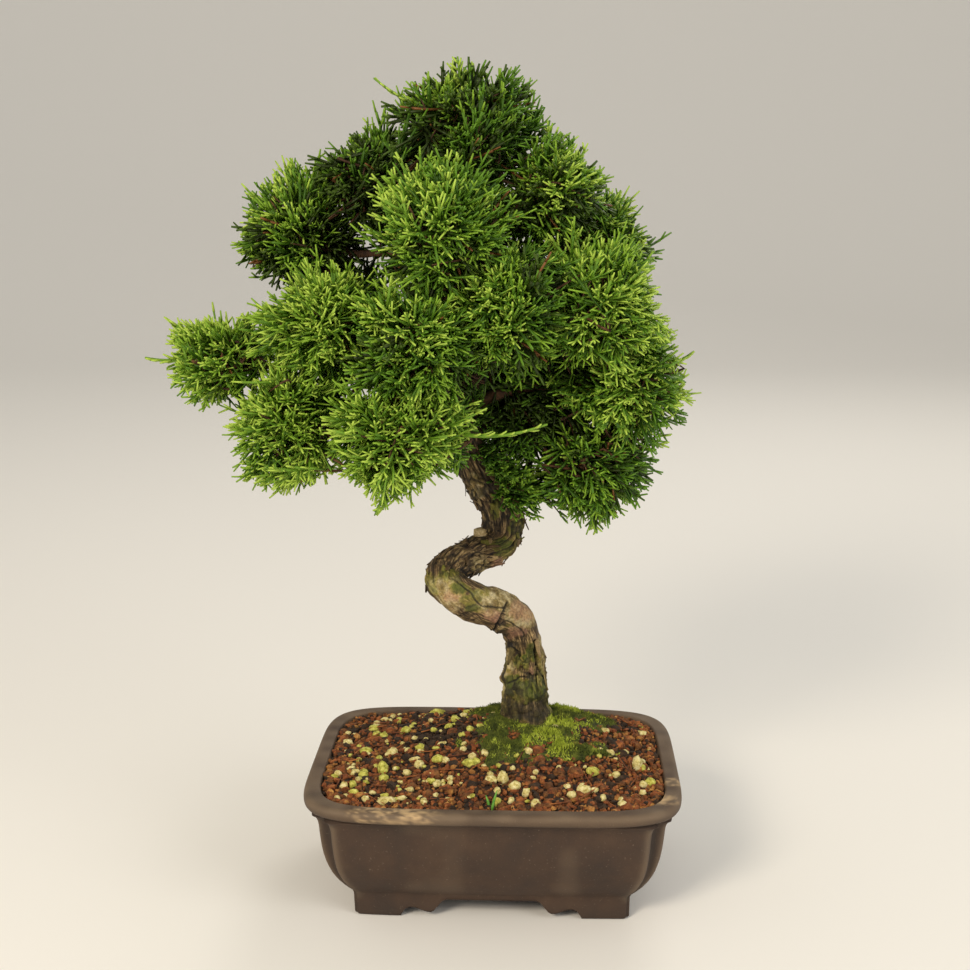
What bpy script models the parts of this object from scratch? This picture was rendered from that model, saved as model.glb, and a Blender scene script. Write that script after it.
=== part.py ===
# Juniper bonsai in an unglazed rectangular clay pot.
# Trunk, boughs, foliage masses, moss, soil and pot are separate solids.
# All sizes below are in millimetres, measured from the middle of the pot on the ground,
# +X to the right of the front view, +Y away from it, +Z up. Meshes are made in metres.

import math
import random

import bmesh
import bpy
import numpy as np
from mathutils import Matrix, Vector
from mathutils.bvhtree import BVHTree

MM = 0.001
SEED = 11
CLEARANCE = 0.3                # between two pieces that meet
CUTTER_GROWTH = CLEARANCE + 0.1
CUT_PAST = 20.0                # how far a cutter runs out past what it cuts

# The whole plant is set so that its box stands centred on the origin.
PLANT_PLACE = (34.0, -4.0, 0.0)

# Colour and roughness of each finish
FINISHES = {
    "unglazed grey-brown clay": ((0.105, 0.078, 0.066), 0.75),
    "crumbled clay soil": ((0.16, 0.055, 0.025), 0.95),
    "moss": ((0.05, 0.12, 0.015), 0.95),
    "flaky bark": ((0.19, 0.13, 0.09), 0.9),
    "juniper foliage": ((0.05, 0.17, 0.012), 0.7),
}

# Pot: rim
RIM_HALF = (90.0, 70.0)
RIM_POWER = 5.8                # how square the rim is, 2 would be an ellipse
RIM_BAND = 6.0
RIM_LEDGE = 8.0                # the rim stands out past the walls by this
RIM_TOP_WIDTH = 7.5
POT_HEIGHT = 61.5
# Rounded outer side of the rim: how far in from its edge, how far down from its top
RIM_PROFILE = ((6.5, 0.0), (1.4, 0.2), (0.0, 2.0), (0.3, 4.8), (1.8, 5.9))
RIM_INNER_ROUND = (0.6, 0.3)   # the same for the inner edge
# Bearings of the points in one quarter of a ring, close together round the corner
CORNER_BEARINGS = [68.0 - 7.33 * step for step in range(7)]
RING_BEARINGS = [90.0, 79.0] + CORNER_BEARINGS + [11.0]

# Pot: walls
WALL = 7.0
WALL_HEIGHTS = (55.3, 38.0, 27.0, 20.0, 16.0)
WALL_SLOPE = 0.2               # share of the wall's run that is straight, the rest curves in
CORNER_NOTCH = 7.0             # the corners step in between the four panels
NOTCH_LOBE = 0.42              # radius of the round on each panel's end, against the notch
PANEL_BOW = 1.2
PANEL_BEND = (0.55, 0.7)       # a point on the panel's bow: share along, share of the bow

# Pot: inside and floor
FLOOR_UNDER = 10.0
FLOOR_TOP = 16.0
FLOOR_ROUND = 5.0
CAVITY_HEIGHTS = (21.0, 32.0, 52.0)
LIP_STEP = 1.5                 # the inside widens by this just under the rim
LIP_UNDER = 57.5
DRAIN_RADIUS = 6.0
DRAIN_PLACE = 36.0
DRAIN_SIDES = 16

# Pot: feet
FOOT_HALF = (66.0, 49.0)
FOOT_TOP = 12.0
FOOT_WALL = 7.0
FOOT_NOTCH = 1.6
FOOT_EDGE = ((1.2, 1.4), (2.2, 0.0))        # worn lower edge: how far in, how high
APRON_EDGE = 9.5               # straight lower edge of the apron between two feet
SCALLOP_HEIGHT = 4.5
SCALLOP_STEP = 3.5
# Widths of the foot, of its scallop, of the step beside it and of the slope to the apron
FRONT_SCALLOP = (23.0, 12.0, 5.0, 4.0)
END_SCALLOP = (18.0, 9.0, 4.0, 3.5)

# Soil
SOIL_EDGE = 60.0
SOIL_HALF = (RIM_HALF[0] - RIM_TOP_WIDTH - LIP_STEP, RIM_HALF[1] - RIM_TOP_WIDTH - LIP_STEP)
SOIL_POWER = 6.0
SOIL_MOUND = 11.5
SOIL_CUSHION = 2.0
MOUND_REACH = 40.0
FLAT_RADIUS = 15.0             # the soil is flat this far round the trunk's foot
SOIL_SHARES = (0.90, 0.78, 0.65, 0.52, 0.39, 0.26, 0.13)
SOIL_LUMPS = (-0.6, 1.8)       # hollows and main grains of the soil, against its smooth shape
LUMP_MARGIN = 9.0              # they grow from nothing within this distance of the moss
LUMP_EDGE = 0.6                # and are this much lower beside the rim

# Moss
MOSS_SIDES = 20
MOSS_ROWS = 3
MOSS_EDGE = 1.0
MOSS_THICK = 3.2
MOSS_REACH = {"front": 52.0, "back": 22.0}
MOSS_FACING = -62.0            # bearing in which it spreads furthest
MOSS_WAVES = ((3.0, 1.0, 0.10), (7.0, 0.0, 0.06))
MOSS_LUMPS = (0.7, 1.15)
MOSS_ROOT_GAP = 0.6

# Trunk: centre line, each point with the trunk's radius there
TRUNK_FOOT = (15.3, 22.0)
TRUNK_LINE = [
    (15.3, 22.0, 73.8, 12.0),
    (15.0, 21.6, 79.0, 10.7),
    (14.4, 21.0, 86.0, 11.0),
    (14.2, 19.5, 97.0, 10.5),
    (14.1, 17.0, 108.0, 9.8),
    (13.7, 12.0, 119.5, 8.7),
    (9.7, 5.0, 131.5, 9.0),
    (1.6, -3.0, 138.5, 9.3),
    (-8.7, -10.5, 144.4, 9.3),
    (-18.4, -13.5, 150.6, 9.5),
    (-23.2, -8.0, 155.6, 9.4),
    (-19.5, 2.5, 159.8, 9.0),
    (-10.6, 11.0, 161.8, 8.9),
    (-1.9, 14.5, 165.6, 9.2),
    (3.0, 14.0, 172.5, 9.5),
    (3.2, 12.0, 181.5, 10.2),
    (0.2, 10.0, 191.2, 10.0),
    (-5.5, 8.0, 201.0, 9.5),
    (-11.2, 6.0, 211.5, 8.9),
    (-14.5, 4.0, 228.0, 7.9),
    (-11.5, 5.0, 248.0, 7.0),
    (-5.0, 6.0, 268.0, 6.3),
    (-6.0, 4.0, 290.0, 5.5),
    (-13.0, 2.0, 312.0, 4.4),
    (-17.0, 0.5, 332.0, 3.4),
    (-15.5, 0.0, 350.0, 2.4),
]
TRUNK_STEP = 7.4
TRUNK_SIDES = 12
TRUNK_KNOBS = (0.035, 0.02)    # low swellings round the trunk and along it
ROOT_LOBES = [(0.3, 0.16), (1.7, 0.20), (3.0, 0.14), (4.1, 0.22), (5.3, 0.15)]
ROOT_LOBE_WIDTH = 0.42
ROOT_FLARE_HEIGHT = 9.0

# Boughs
BOUGH_TIP_RADIUS = 1.7
BOUGH_TAPER = (1.0, 0.78, 0.60)
BOUGH_SIDES = 5
BOUGH_RINGS = 5
BOUGH_ARCH = 0.16              # how far a bough bows above a straight line
BOUGH_SWAY = 0.07              # and how far to one side at most
BOUGH_BENDS = ((0.36, 0.8, 1.0), (0.72, 0.7, -0.5))     # share along, arch, sway
TIP_INSET = 0.80               # a bough ends this far out from the middle of its mass
LEAST_BOUGH = 13.0             # how far the shortest bough stands out of its parent

# Foliage masses: middle (x, y, z), half sizes (x, y, z), and the limb each grows from:
# its parent, the height on the trunk (or the share of the way along a bough) where it
# leaves, and its root radius. The topmost mass sits on the trunk's own tip.
MASSES = {
    "top": ((-13.0, 0.0, 365.0), (44, 39, 34), "trunk", None, None),
    "shoulder_left": ((-60.0, 10.0, 344.0), (32, 32, 31), "trunk", 312.0, 2.5),
    "shoulder_right": ((26.0, -8.0, 339.0), (32, 32, 31), "trunk", 316.0, 2.4),
    "upper_left": ((-93.0, 12.0, 319.0), (37, 36, 38), "trunk", 283.0, 3.2),
    "upper_front": ((-20.0, -48.0, 322.0), (39, 36, 34), "trunk", 300.0, 2.8),
    "upper_right": ((47.0, 22.0, 312.0), (32, 34, 33), "trunk", 292.0, 2.8),
    "upper_back": ((-28.0, 48.0, 330.0), (40, 36, 36), "trunk", 304.0, 2.8),
    "right_front": ((47.0, -32.0, 290.0), (35, 34, 34), "trunk", 266.0, 3.2),
    "right_side": ((61.0, -14.0, 250.0), (35, 36, 37), "trunk", 232.0, 3.6),
    "right_low": ((46.0, -6.0, 210.0), (35, 34, 34), "trunk", 186.0, 4.2),
    "left_top": ((-74.0, -42.0, 281.0), (37, 34, 30), "left_far", 0.34, 2.8),
    "left_far": ((-124.0, -30.0, 264.0), (35, 31, 24), "trunk", 240.0, 4.4),
    "left_low": ((-90.0, -42.0, 234.0), (36, 35, 35), "left_far", 0.50, 2.6),
    "middle_low": ((-40.0, -58.0, 231.0), (39, 36, 34), "trunk", 214.0, 3.8),
    "middle_front": ((-34.0, -58.0, 274.0), (36, 34, 32), "trunk", 252.0, 3.0),
    "front": ((7.0, -45.0, 288.0), (35, 33, 37), "trunk", 274.0, 2.8),
    "inner_right": ((18.0, 18.0, 238.0), (36, 38, 42), "trunk", 220.0, 3.6),
    "back_left": ((-84.0, 44.0, 275.0), (40, 40, 38), "trunk", 256.0, 3.6),
    "back_low": ((-24.0, 52.0, 228.0), (42, 38, 34), "trunk", 206.0, 3.8),
    "back": ((-12.0, 66.0, 280.0), (42, 38, 38), "trunk", 262.0, 3.4),
    "back_right": ((46.0, 54.0, 268.0), (38, 38, 39), "trunk", 246.0, 3.4),
}
# Single shoots that reach past a mass: which mass, and the point of the tip
LONG_SHOOTS = [
    ("left_far", (-162.5, -32.0, 263.5)),
    ("top", (-56.5, -6.0, 383.5)),
    ("right_side", (92.0, -18.0, 268.0)),
    ("right_low", (50.0, -14.0, 177.5)),
    ("top", (-17.0, -4.0, 397.5)),
]
LIMB_CLEARANCE = 0.8
SPACE_MARGIN = 0.45            # half the gap kept between two masses
SPACE_STEPS = np.arange(1.0, 80.0, 1.0)     # distances tried when feeling for room

# The dense core of a mass, and the short tufts that stand out of it
CORE_SHARE = 0.62              # the core's size against the whole mass
CORE_LUMPS = 0.12
CORE_CLEARANCE = 2.0
CORE_DRAW_IN = 0.8
CORE_LEAST = 2.5
TUFT_SHARES = (0.76, 0.98)     # how far out the tufts reach
TUFT_SHIFT = 0.12

# The stem of a mass, which goes on from its bough's tip
STEM_STRAIGHT = 2.0
STEM_SHARE = 0.9               # how far it runs towards the middle of the mass
STEM_TAPER = 0.7

# Twigs and sprays of a mass
DIRECTIONS_PER_MASS = 13
SPRAYS_PER_MASS = 5
TWIGS_PER_MASS = 2
GOLDEN_TURN = 2.399963         # radians between two directions of an even spread
UP_SWEEP = 0.30
ROOT_SHARE = 0.30              # twigs root this far out in the core
TIP_OVAL = 1.02                # how far past the mass's oval a tip is felt for
SPRAY_OVAL = 1.04
SUNK = 5.0                     # how deep a spray's root lies in the core
TWIG_REACH = 0.62
TWIG_RADIUS = 1.5
PALM_SHARE = 0.48              # where on the free run the end spray starts
FORK_SHARE = 0.08              # and where the side spray starts
FORK_LENGTH = 0.95
FORK_LEAN = (0.72, 0.70)
SHOOT_ROOT = 0.3

# One spray: shoots that part from a root like fingers from a palm
SPRAY_WIDTH = 2.8
SPRAY_THICK = 0.075
SPRAY_SIZES = (1.0, 0.82, 0.66)
SPRAY_TRIES = 3
SPRAY_BACK = 0.02
PALM_PLACE = 0.42
FINGER_ROOT = 0.10
FINGER_DROP = 0.10             # each finger further out is shorter by this
FINGER_SPREAD = 0.36           # angle between two fingers
FINGER_NOTCH = 0.50


def finish(name):
    colour, roughness = FINISHES[name]
    material = bpy.data.materials.new(name)
    material.use_nodes = True
    shader = material.node_tree.nodes["Principled BSDF"]
    shader.inputs["Base Color"].default_value = (*colour, 1.0)
    shader.inputs["Roughness"].default_value = roughness
    shader.inputs["Metallic"].default_value = 0.0
    material.diffuse_color = (*colour, 1.0)
    return material


def make_object(name, points, faces, material=None, triangles=False):
    """Make a mesh object from points in millimetres, faces pointing out."""
    mesh = bpy.data.meshes.new(name)
    shape = bmesh.new()
    corners = [shape.verts.new(Vector(point) * MM) for point in points]
    for face in faces:
        shape.faces.new([corners[index] for index in face])
    bmesh.ops.recalc_face_normals(shape, faces=shape.faces)
    if triangles:
        bmesh.ops.triangulate(shape, faces=shape.faces, quad_method="FIXED")
    shape.to_mesh(mesh)
    shape.free()
    piece = bpy.data.objects.new(name, mesh)
    if material:
        mesh.materials.append(material)
    bpy.context.scene.collection.objects.link(piece)
    return piece


def shade(piece, degrees=35.0):
    piece.data.shade_smooth()
    piece.data.set_sharp_from_angle(angle=math.radians(degrees))


def loft(rings):
    """Points and faces of a closed body through rings of equal count, flat at both ends."""
    count = len(rings[0])
    points = [point for ring in rings for point in ring]
    faces = []
    for level in range(len(rings) - 1):
        low = level * count
        for index in range(count):
            after = (index + 1) % count
            faces.append((low + index, low + after, low + count + after, low + count + index))
    faces.append(tuple(range(count)))
    faces.append(tuple(len(points) - count + index for index in range(count)))
    return points, faces


def cutter(name, points, faces, triangles=False):
    piece = make_object(name, points, faces, triangles=triangles)
    piece.hide_render = True
    piece.display_type = "WIRE"
    return piece


def cut_away(piece, tool):
    step = piece.modifiers.new("cut " + tool.name, "BOOLEAN")
    step.operation = "DIFFERENCE"
    step.object = tool
    return step


def apply_modifiers(piece):
    graph = bpy.context.evaluated_depsgraph_get()
    result = bpy.data.meshes.new_from_object(piece.evaluated_get(graph))
    piece.modifiers.clear()
    piece.data = result


# Pot


def rim_ring(half_x, half_y, height):
    """A squarish oval, closer points round the corners."""
    ring = []
    for turn in range(4):
        for angle in RING_BEARINGS:
            bearing = math.radians(angle - 90.0 * turn)
            across, along = round(math.cos(bearing), 9), round(math.sin(bearing), 9)
            across = math.copysign(abs(across) ** (2.0 / RIM_POWER), across)
            along = math.copysign(abs(along) ** (2.0 / RIM_POWER), along)
            ring.append((half_x * across, half_y * along, height))
    return ring


def panel_ring(half_x, half_y, notch, height):
    """Four bowed panels with stepped-in corners, as many points as the rim's ring."""
    lobe = NOTCH_LOBE * notch
    flat_x, flat_y = half_x - notch - lobe, half_y - notch - lobe
    arc = [math.radians(90.0 - 45.0 * step) for step in range(3)]
    along, bow = PANEL_BEND[0], PANEL_BEND[1] * PANEL_BOW
    first = [(0.0, half_y + PANEL_BOW), (along * flat_x, half_y + bow)]
    first += [(flat_x + lobe * math.cos(a), half_y - lobe + lobe * math.sin(a)) for a in arc]
    first += [(half_x - notch, half_y - notch)]
    first += [(half_x - lobe + lobe * math.cos(a), flat_y + lobe * math.sin(a)) for a in arc]
    first += [(half_x + bow, along * flat_y)]
    second = [(x, -y) for x, y in reversed(first[1:])]
    side = (half_x + PANEL_BOW, 0.0)
    right = first + [side] + second
    left = [(-x, -y) for x, y in right]
    return [(x, y, height) for x, y in right + left]


def wall_half(height, inset=0.0):
    """Half sizes of the wall, which curves in from under the rim to the top of the foot."""
    top = POT_HEIGHT - RIM_BAND
    drop = (top - height) / (top - FOOT_TOP)
    drop = min(1.0, max(0.0, drop))
    share = WALL_SLOPE * drop + (1.0 - WALL_SLOPE) * drop ** 4
    top_x, top_y = RIM_HALF[0] - RIM_LEDGE, RIM_HALF[1] - RIM_LEDGE
    half_x = top_x + (FOOT_HALF[0] - top_x) * share - inset
    half_y = top_y + (FOOT_HALF[1] - top_y) * share - inset
    notch = CORNER_NOTCH + (FOOT_NOTCH - CORNER_NOTCH) * share
    return half_x, half_y, notch


def cavity_rings(inset=0.0, lift=0.0):
    """The pot's inside from its floor to the rim, drawn in by an inset."""
    floor_x, floor_y, _ = wall_half(FLOOR_TOP, WALL + FLOOR_ROUND + inset)
    rings = [rim_ring(floor_x, floor_y, FLOOR_TOP + lift)]
    for height in CAVITY_HEIGHTS:
        half_x, half_y, _ = wall_half(height, WALL + inset)
        rings.append(rim_ring(half_x, half_y, height))
    for draw_in, height in ((LIP_STEP, LIP_UNDER), (0.0, SOIL_EDGE)):
        lip = RIM_TOP_WIDTH + inset + draw_in
        rings.append(rim_ring(RIM_HALF[0] - lip, RIM_HALF[1] - lip, height))
    return rings


def foot_profile(half, foot, scallop, step, slope):
    """Scalloped lower edge between two feet, from one foot to the other (place, height)."""
    start = half - foot
    side = [(start, -CUT_PAST), (start, 0.0)]
    for turn in (30.0, 60.0, 90.0, 120.0):
        turn = math.radians(turn)
        side.append((start - 0.5 * scallop * (1.0 - math.cos(turn)),
                     SCALLOP_HEIGHT * math.sin(turn)))
    side.append((start - scallop, SCALLOP_STEP))
    side.append((start - scallop - step, SCALLOP_STEP))
    side.append((start - scallop - step - slope, APRON_EDGE))
    return side + [(-place, height) for place, height in reversed(side)]


def make_pot(material):
    rings = cavity_rings()
    widen, drop = RIM_INNER_ROUND
    lip = RIM_TOP_WIDTH - widen
    rings.append(rim_ring(RIM_HALF[0] - lip, RIM_HALF[1] - lip, POT_HEIGHT - drop))
    for inset, drop in RIM_PROFILE:
        rings.append(rim_ring(RIM_HALF[0] - inset, RIM_HALF[1] - inset, POT_HEIGHT - drop))
    for height in (*WALL_HEIGHTS, FOOT_TOP):
        half_x, half_y, notch = wall_half(height)
        rings.append(panel_ring(half_x, half_y, notch, height))
    for inset, height in FOOT_EDGE:
        rings.append(panel_ring(FOOT_HALF[0] - inset, FOOT_HALF[1] - inset, FOOT_NOTCH, height))
    pot = make_object("pot", *loft(rings), material)

    inner = (FOOT_HALF[0] - FOOT_WALL, FOOT_HALF[1] - FOOT_WALL)
    recess = [rim_ring(*inner, -CUT_PAST), rim_ring(*inner, FLOOR_UNDER)]
    cut_away(pot, cutter("cut_under_floor", *loft(recess)))

    front = foot_profile(FOOT_HALF[0], *FRONT_SCALLOP)
    deep = RIM_HALF[1] + CUT_PAST
    through = [[(x, y, z) for x, z in front] for y in (-deep, deep)]
    cut_away(pot, cutter("cut_front_apron", *loft(through)))
    end = foot_profile(FOOT_HALF[1], *END_SCALLOP)
    wide = RIM_HALF[0] + CUT_PAST
    across = [[(x, y, z) for y, z in end] for x in (-wide, wide)]
    cut_away(pot, cutter("cut_end_apron", *loft(across)))

    turns = [2.0 * math.pi * step / DRAIN_SIDES for step in range(DRAIN_SIDES)]
    for number, place in enumerate((-DRAIN_PLACE, DRAIN_PLACE)):
        hole = [[(place + DRAIN_RADIUS * math.cos(a), DRAIN_RADIUS * math.sin(a), z)
                 for a in turns] for z in (-CUT_PAST, FLOOR_TOP + CUT_PAST)]
        cut_away(pot, cutter(f"cut_drain_{number + 1}", *loft(hole)))
    shade(pot)


# Soil and moss


def edge_share(x, y):
    """0 in the middle of the pot, 1 at the edge of the soil."""
    share = abs(x / SOIL_HALF[0]) ** SOIL_POWER + abs(y / SOIL_HALF[1]) ** SOIL_POWER
    return min(1.0, share ** (1.0 / SOIL_POWER))


def soil_height(x, y):
    """A low cushion with a mound round the trunk's foot, flat right under it."""
    edge = edge_share(x, y)
    away = math.hypot(x - TRUNK_FOOT[0], y - TRUNK_FOOT[1])
    away = max(0.0, away - FLAT_RADIUS)
    mound = SOIL_MOUND * math.exp(-((away / MOUND_REACH) ** 2)) * (1.0 - edge ** SOIL_POWER)
    cushion = SOIL_CUSHION * (1.0 - max(edge, edge_share(*TRUNK_FOOT)) ** 2)
    return SOIL_EDGE + mound + cushion


def soil_lump(x, y, noise):
    """One hollow or rise of the soil, none at the moss and lower beside the rim."""
    across, along = x - TRUNK_FOOT[0], y - TRUNK_FOOT[1]
    past = math.hypot(across, along) - moss_reach(math.atan2(along, across))
    share = min(1.0, max(0.0, past / LUMP_MARGIN))
    lower = 1.0 - LUMP_EDGE * edge_share(x, y) ** SOIL_POWER
    return share * lower * noise.uniform(*SOIL_LUMPS)


def make_soil(material):
    """Make the soil, and give back a copy lifted a little that cuts the moss clear of it."""
    noise = random.Random(SEED)
    rings = [ring[::2] for ring in cavity_rings(inset=CUTTER_GROWTH, lift=CLEARANCE)]
    edge = rings[-1]
    foot_x, foot_y = TRUNK_FOOT
    flat = []
    for x, y, _ in edge:
        bearing = math.atan2(y - foot_y, x - foot_x)
        flat.append((foot_x + FLAT_RADIUS * math.cos(bearing),
                     foot_y + FLAT_RADIUS * math.sin(bearing), soil_height(*TRUNK_FOOT)))
    for share in SOIL_SHARES:
        ring = []
        for near, far in zip(flat, edge):
            x, y = (near[axis] + share * (far[axis] - near[axis]) for axis in (0, 1))
            ring.append((x, y, soil_height(x, y) + soil_lump(x, y, noise)))
        rings.append(ring)
    rings.append(flat)
    soil = make_object("soil", *loft(rings), material, triangles=True)
    shade(soil)
    lifted = [[(x, y, z + CLEARANCE) for x, y, z in ring] for ring in rings]
    return cutter("clearance_soil", *loft(lifted), triangles=True)


def root_swelling(bearing, above):
    """How many times its own radius the trunk has near the ground: roots that die out."""
    flare = max(0.0, 1.0 - above / ROOT_FLARE_HEIGHT) ** 1.5
    swell = 0.0
    for middle, size in ROOT_LOBES:
        turn = math.atan2(math.sin(bearing - middle), math.cos(bearing - middle))
        swell += size * math.exp(-((turn / ROOT_LOBE_WIDTH) ** 2))
    return 1.0 + flare * swell


def moss_reach(bearing):
    """How far the moss spreads in one direction, in uneven waves."""
    facing = 0.5 + 0.5 * math.cos(bearing - math.radians(MOSS_FACING))
    reach = MOSS_REACH["back"] + (MOSS_REACH["front"] - MOSS_REACH["back"]) * facing
    return reach * (1.0 + sum(size * math.sin(count * bearing + start)
                              for count, start, size in MOSS_WAVES))


def make_moss(soil_hollow, material):
    """A thin cushion round the trunk's foot, widest in front and to the right."""
    noise = random.Random(SEED)
    lower, upper = [], []
    for row in range(MOSS_ROWS + 1):
        share = row / MOSS_ROWS
        low_ring, high_ring = [], []
        for step in range(MOSS_SIDES):
            bearing = 2.0 * math.pi * step / MOSS_SIDES
            inner = TRUNK_LINE[0][3] * root_swelling(bearing, 0.0) + MOSS_ROOT_GAP
            reach = inner + (moss_reach(bearing) - inner) * share
            x = TRUNK_FOOT[0] + reach * math.cos(bearing)
            y = TRUNK_FOOT[1] + reach * math.sin(bearing)
            base = soil_height(x, y)
            dome = (1.0 - share ** 2) ** 0.7 * min(1.0, 0.35 + 2.5 * share)
            thick = MOSS_EDGE + MOSS_THICK * dome * noise.uniform(*MOSS_LUMPS)
            low_ring.append((x, y, base - MOSS_EDGE))
            high_ring.append((x, y, base + thick))
        lower.append(low_ring)
        upper.append(high_ring)
    rings = lower + list(reversed(upper))
    points = [point for ring in rings for point in ring]
    faces = []
    for level in range(len(rings)):
        low, high = level * MOSS_SIDES, ((level + 1) % len(rings)) * MOSS_SIDES
        for index in range(MOSS_SIDES):
            after = (index + 1) % MOSS_SIDES
            faces.append((low + index, low + after, high + after, high + index))
    moss = make_object("moss", points, faces, material)
    cut_away(moss, soil_hollow)
    shade(moss, 60.0)


# Limbs


def smooth_line(points, step):
    """Read a smooth curve through points with radii at even steps along it."""
    nodes = [np.array(point, float) for point in points]
    nodes = [2 * nodes[0] - nodes[1]] + nodes + [2 * nodes[-1] - nodes[-2]]
    dense = []
    for index in range(1, len(nodes) - 2):
        a, b, c, d = nodes[index - 1:index + 3]
        for share in np.linspace(0.0, 1.0, 12, endpoint=False):
            square, cube = share ** 2, share ** 3
            dense.append(0.5 * ((2 * b) + (c - a) * share + (2 * a - 5 * b + 4 * c - d) * square
                                + (3 * b - a - 3 * c + d) * cube))
    dense.append(nodes[-2])
    dense = np.array(dense)
    lengths = np.linalg.norm(np.diff(dense[:, :3], axis=0), axis=1)
    travelled = np.concatenate([[0.0], np.cumsum(lengths)])
    count = max(3, int(round(travelled[-1] / step)) + 1)
    places = np.linspace(0.0, travelled[-1], count)
    return np.stack([np.interp(places, travelled, dense[:, axis]) for axis in range(4)], axis=1)


def sweep(line, sides, grow=0.0, shape=None, first=None):
    """Rings square to a line of (x, y, z, radius)."""
    tangents = np.gradient(line[:, :3], axis=0)
    if first is not None:
        tangents[0] = first
    tangents /= np.linalg.norm(tangents, axis=1)[:, None]
    side = np.cross(tangents[0], (0.0, 1.0, 0.0))
    if np.linalg.norm(side) < 0.2:
        side = np.cross(tangents[0], (1.0, 0.0, 0.0))
    rings = []
    for index, (x, y, z, radius) in enumerate(line):
        tangent = tangents[index]
        side = side - tangent * np.dot(side, tangent)
        side /= np.linalg.norm(side)
        other = np.cross(tangent, side)
        ring = []
        for step in range(sides):
            bearing = 2.0 * math.pi * step / sides
            out = math.cos(bearing) * side + math.sin(bearing) * other
            reach = (radius + grow) * (shape(out, index) if shape else 1.0)
            ring.append(tuple(np.array((x, y, z)) + out * reach))
        rings.append(ring)
    return rings


def trunk_shape(line):
    def shape(out, index):
        above = line[index][2] - line[0][2]
        bearing = math.atan2(out[1], out[0])
        if above <= ROOT_FLARE_HEIGHT:
            return root_swelling(bearing, above)
        around, along = TRUNK_KNOBS
        return 1.0 + around * math.sin(3.0 * bearing + 0.9 * index) + along * math.sin(5.0 * index)
    return shape


def make_trunk(line, material):
    """Make the trunk, flat at the ground, and give back a thicker copy that clears the boughs."""
    rings = sweep(line, TRUNK_SIDES, shape=trunk_shape(line))
    foot = line[0][2]
    rings[0] = [(x, y, foot) for x, y, _ in rings[0]]
    trunk = make_object("trunk", *loft(rings), material)
    shade(trunk, 60.0)
    grown = sweep(line, TRUNK_SIDES, grow=CUTTER_GROWTH, shape=trunk_shape(line))
    return cutter("clearance_trunk", *loft(grown))


def point_on(line, place, by_height):
    """A place on a limb, by its height or by its share of the length."""
    if by_height:
        return line[np.argmin(abs(line[:, 2] - place))]
    return line[int(round(place * (len(line) - 1)))]


def bough_line(start, mass_middle, mass_half, radius, noise):
    """One tapering limb from inside its parent to where it enters its mass."""
    origin = np.array(start[:3])
    toward = np.array(mass_middle) - origin
    scale = np.linalg.norm(toward / np.array(mass_half))
    least = (start[3] + LEAST_BOUGH) / np.linalg.norm(toward)
    tip = origin + toward * max(1.0 - TIP_INSET / scale, least)
    span = np.linalg.norm(tip - origin)
    flat = np.array((toward[0], toward[1], 0.0))
    flat /= max(np.linalg.norm(flat), 1e-6)
    aside = np.array((-flat[1], flat[0], 0.0)) * span * noise.uniform(-BOUGH_SWAY, BOUGH_SWAY)
    lift = np.array((0.0, 0.0, BOUGH_ARCH * span))
    places = [origin]
    places += [origin + share * (tip - origin) + arch * lift + sway * aside
               for share, arch, sway in BOUGH_BENDS]
    places.append(tip)
    radii = [radius * taper for taper in BOUGH_TAPER] + [BOUGH_TIP_RADIUS]
    points = [(*place, thick) for place, thick in zip(places, radii)]
    return smooth_line(points, span / (BOUGH_RINGS - 1))


def plan_limbs(trunk_line):
    """Lines of the trunk and of every bough, those that leave the trunk first."""
    lines = {"trunk": trunk_line}
    order = sorted(MASSES, key=lambda name: MASSES[name][2] != "trunk")
    for number, name in enumerate(order):
        middle, half, parent, place, radius = MASSES[name]
        if place is None:
            continue
        noise = random.Random(SEED * 100 + number)
        start = point_on(lines[parent], place, parent == "trunk")
        lines[name] = bough_line(start, middle, half, radius, noise)
    return lines


def make_bough(name, line, parent_cutter, material):
    bough = make_object("bough_" + name, *loft(sweep(line, BOUGH_SIDES)), material)
    cut_away(bough, parent_cutter)
    shade(bough, 60.0)


# Foliage


class Space:
    """The room one mass keeps to: its oval, its share against its neighbours, no limbs."""

    def __init__(self, name, limb_points):
        self.middle = np.array(MASSES[name][0], float)
        self.half = np.array(MASSES[name][1], float)
        self.others = [(np.array(MASSES[other][0], float), np.array(MASSES[other][1], float))
                       for other in MASSES if other != name]
        self.limb_points = limb_points

    def holds(self, points, oval=1.0, clearance=LIMB_CLEARANCE):
        """Which points lie in the room. Two masses part where their spheres of reach meet."""
        points = np.atleast_2d(points)
        own = np.linalg.norm((points - self.middle) / self.half, axis=1)
        inside = own <= oval
        for middle, half in self.others:
            between = middle - self.middle
            distance = np.linalg.norm(between)
            axis = between / distance
            reach_own = 1.0 / np.linalg.norm(axis / self.half)
            reach_other = 1.0 / np.linalg.norm(axis / half)
            split = 0.5 * (distance + (reach_own ** 2 - reach_other ** 2) / distance)
            along = (points - self.middle) @ axis
            inside &= along <= split - SPACE_MARGIN
        away = np.linalg.norm(points[:, None, :] - self.limb_points[None, :, :3], axis=2)
        inside &= (away - self.limb_points[None, :, 3]).min(axis=1) >= clearance
        return inside

    def reach(self, start, direction, oval=1.0, clearance=LIMB_CLEARANCE):
        """How far a straight line runs before it leaves the room."""
        inside = self.holds(start + SPACE_STEPS[:, None] * direction, oval, clearance)
        blocked = np.flatnonzero(~inside)
        return SPACE_STEPS[blocked[0]] - 1.0 if len(blocked) else SPACE_STEPS[-1]


def any_side(direction, noise):
    """A unit direction square to another, at a random turn."""
    other = np.array([noise.gauss(0.0, 1.0) for _ in range(3)])
    other -= direction * np.dot(other, direction)
    return other / np.linalg.norm(other)


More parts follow.
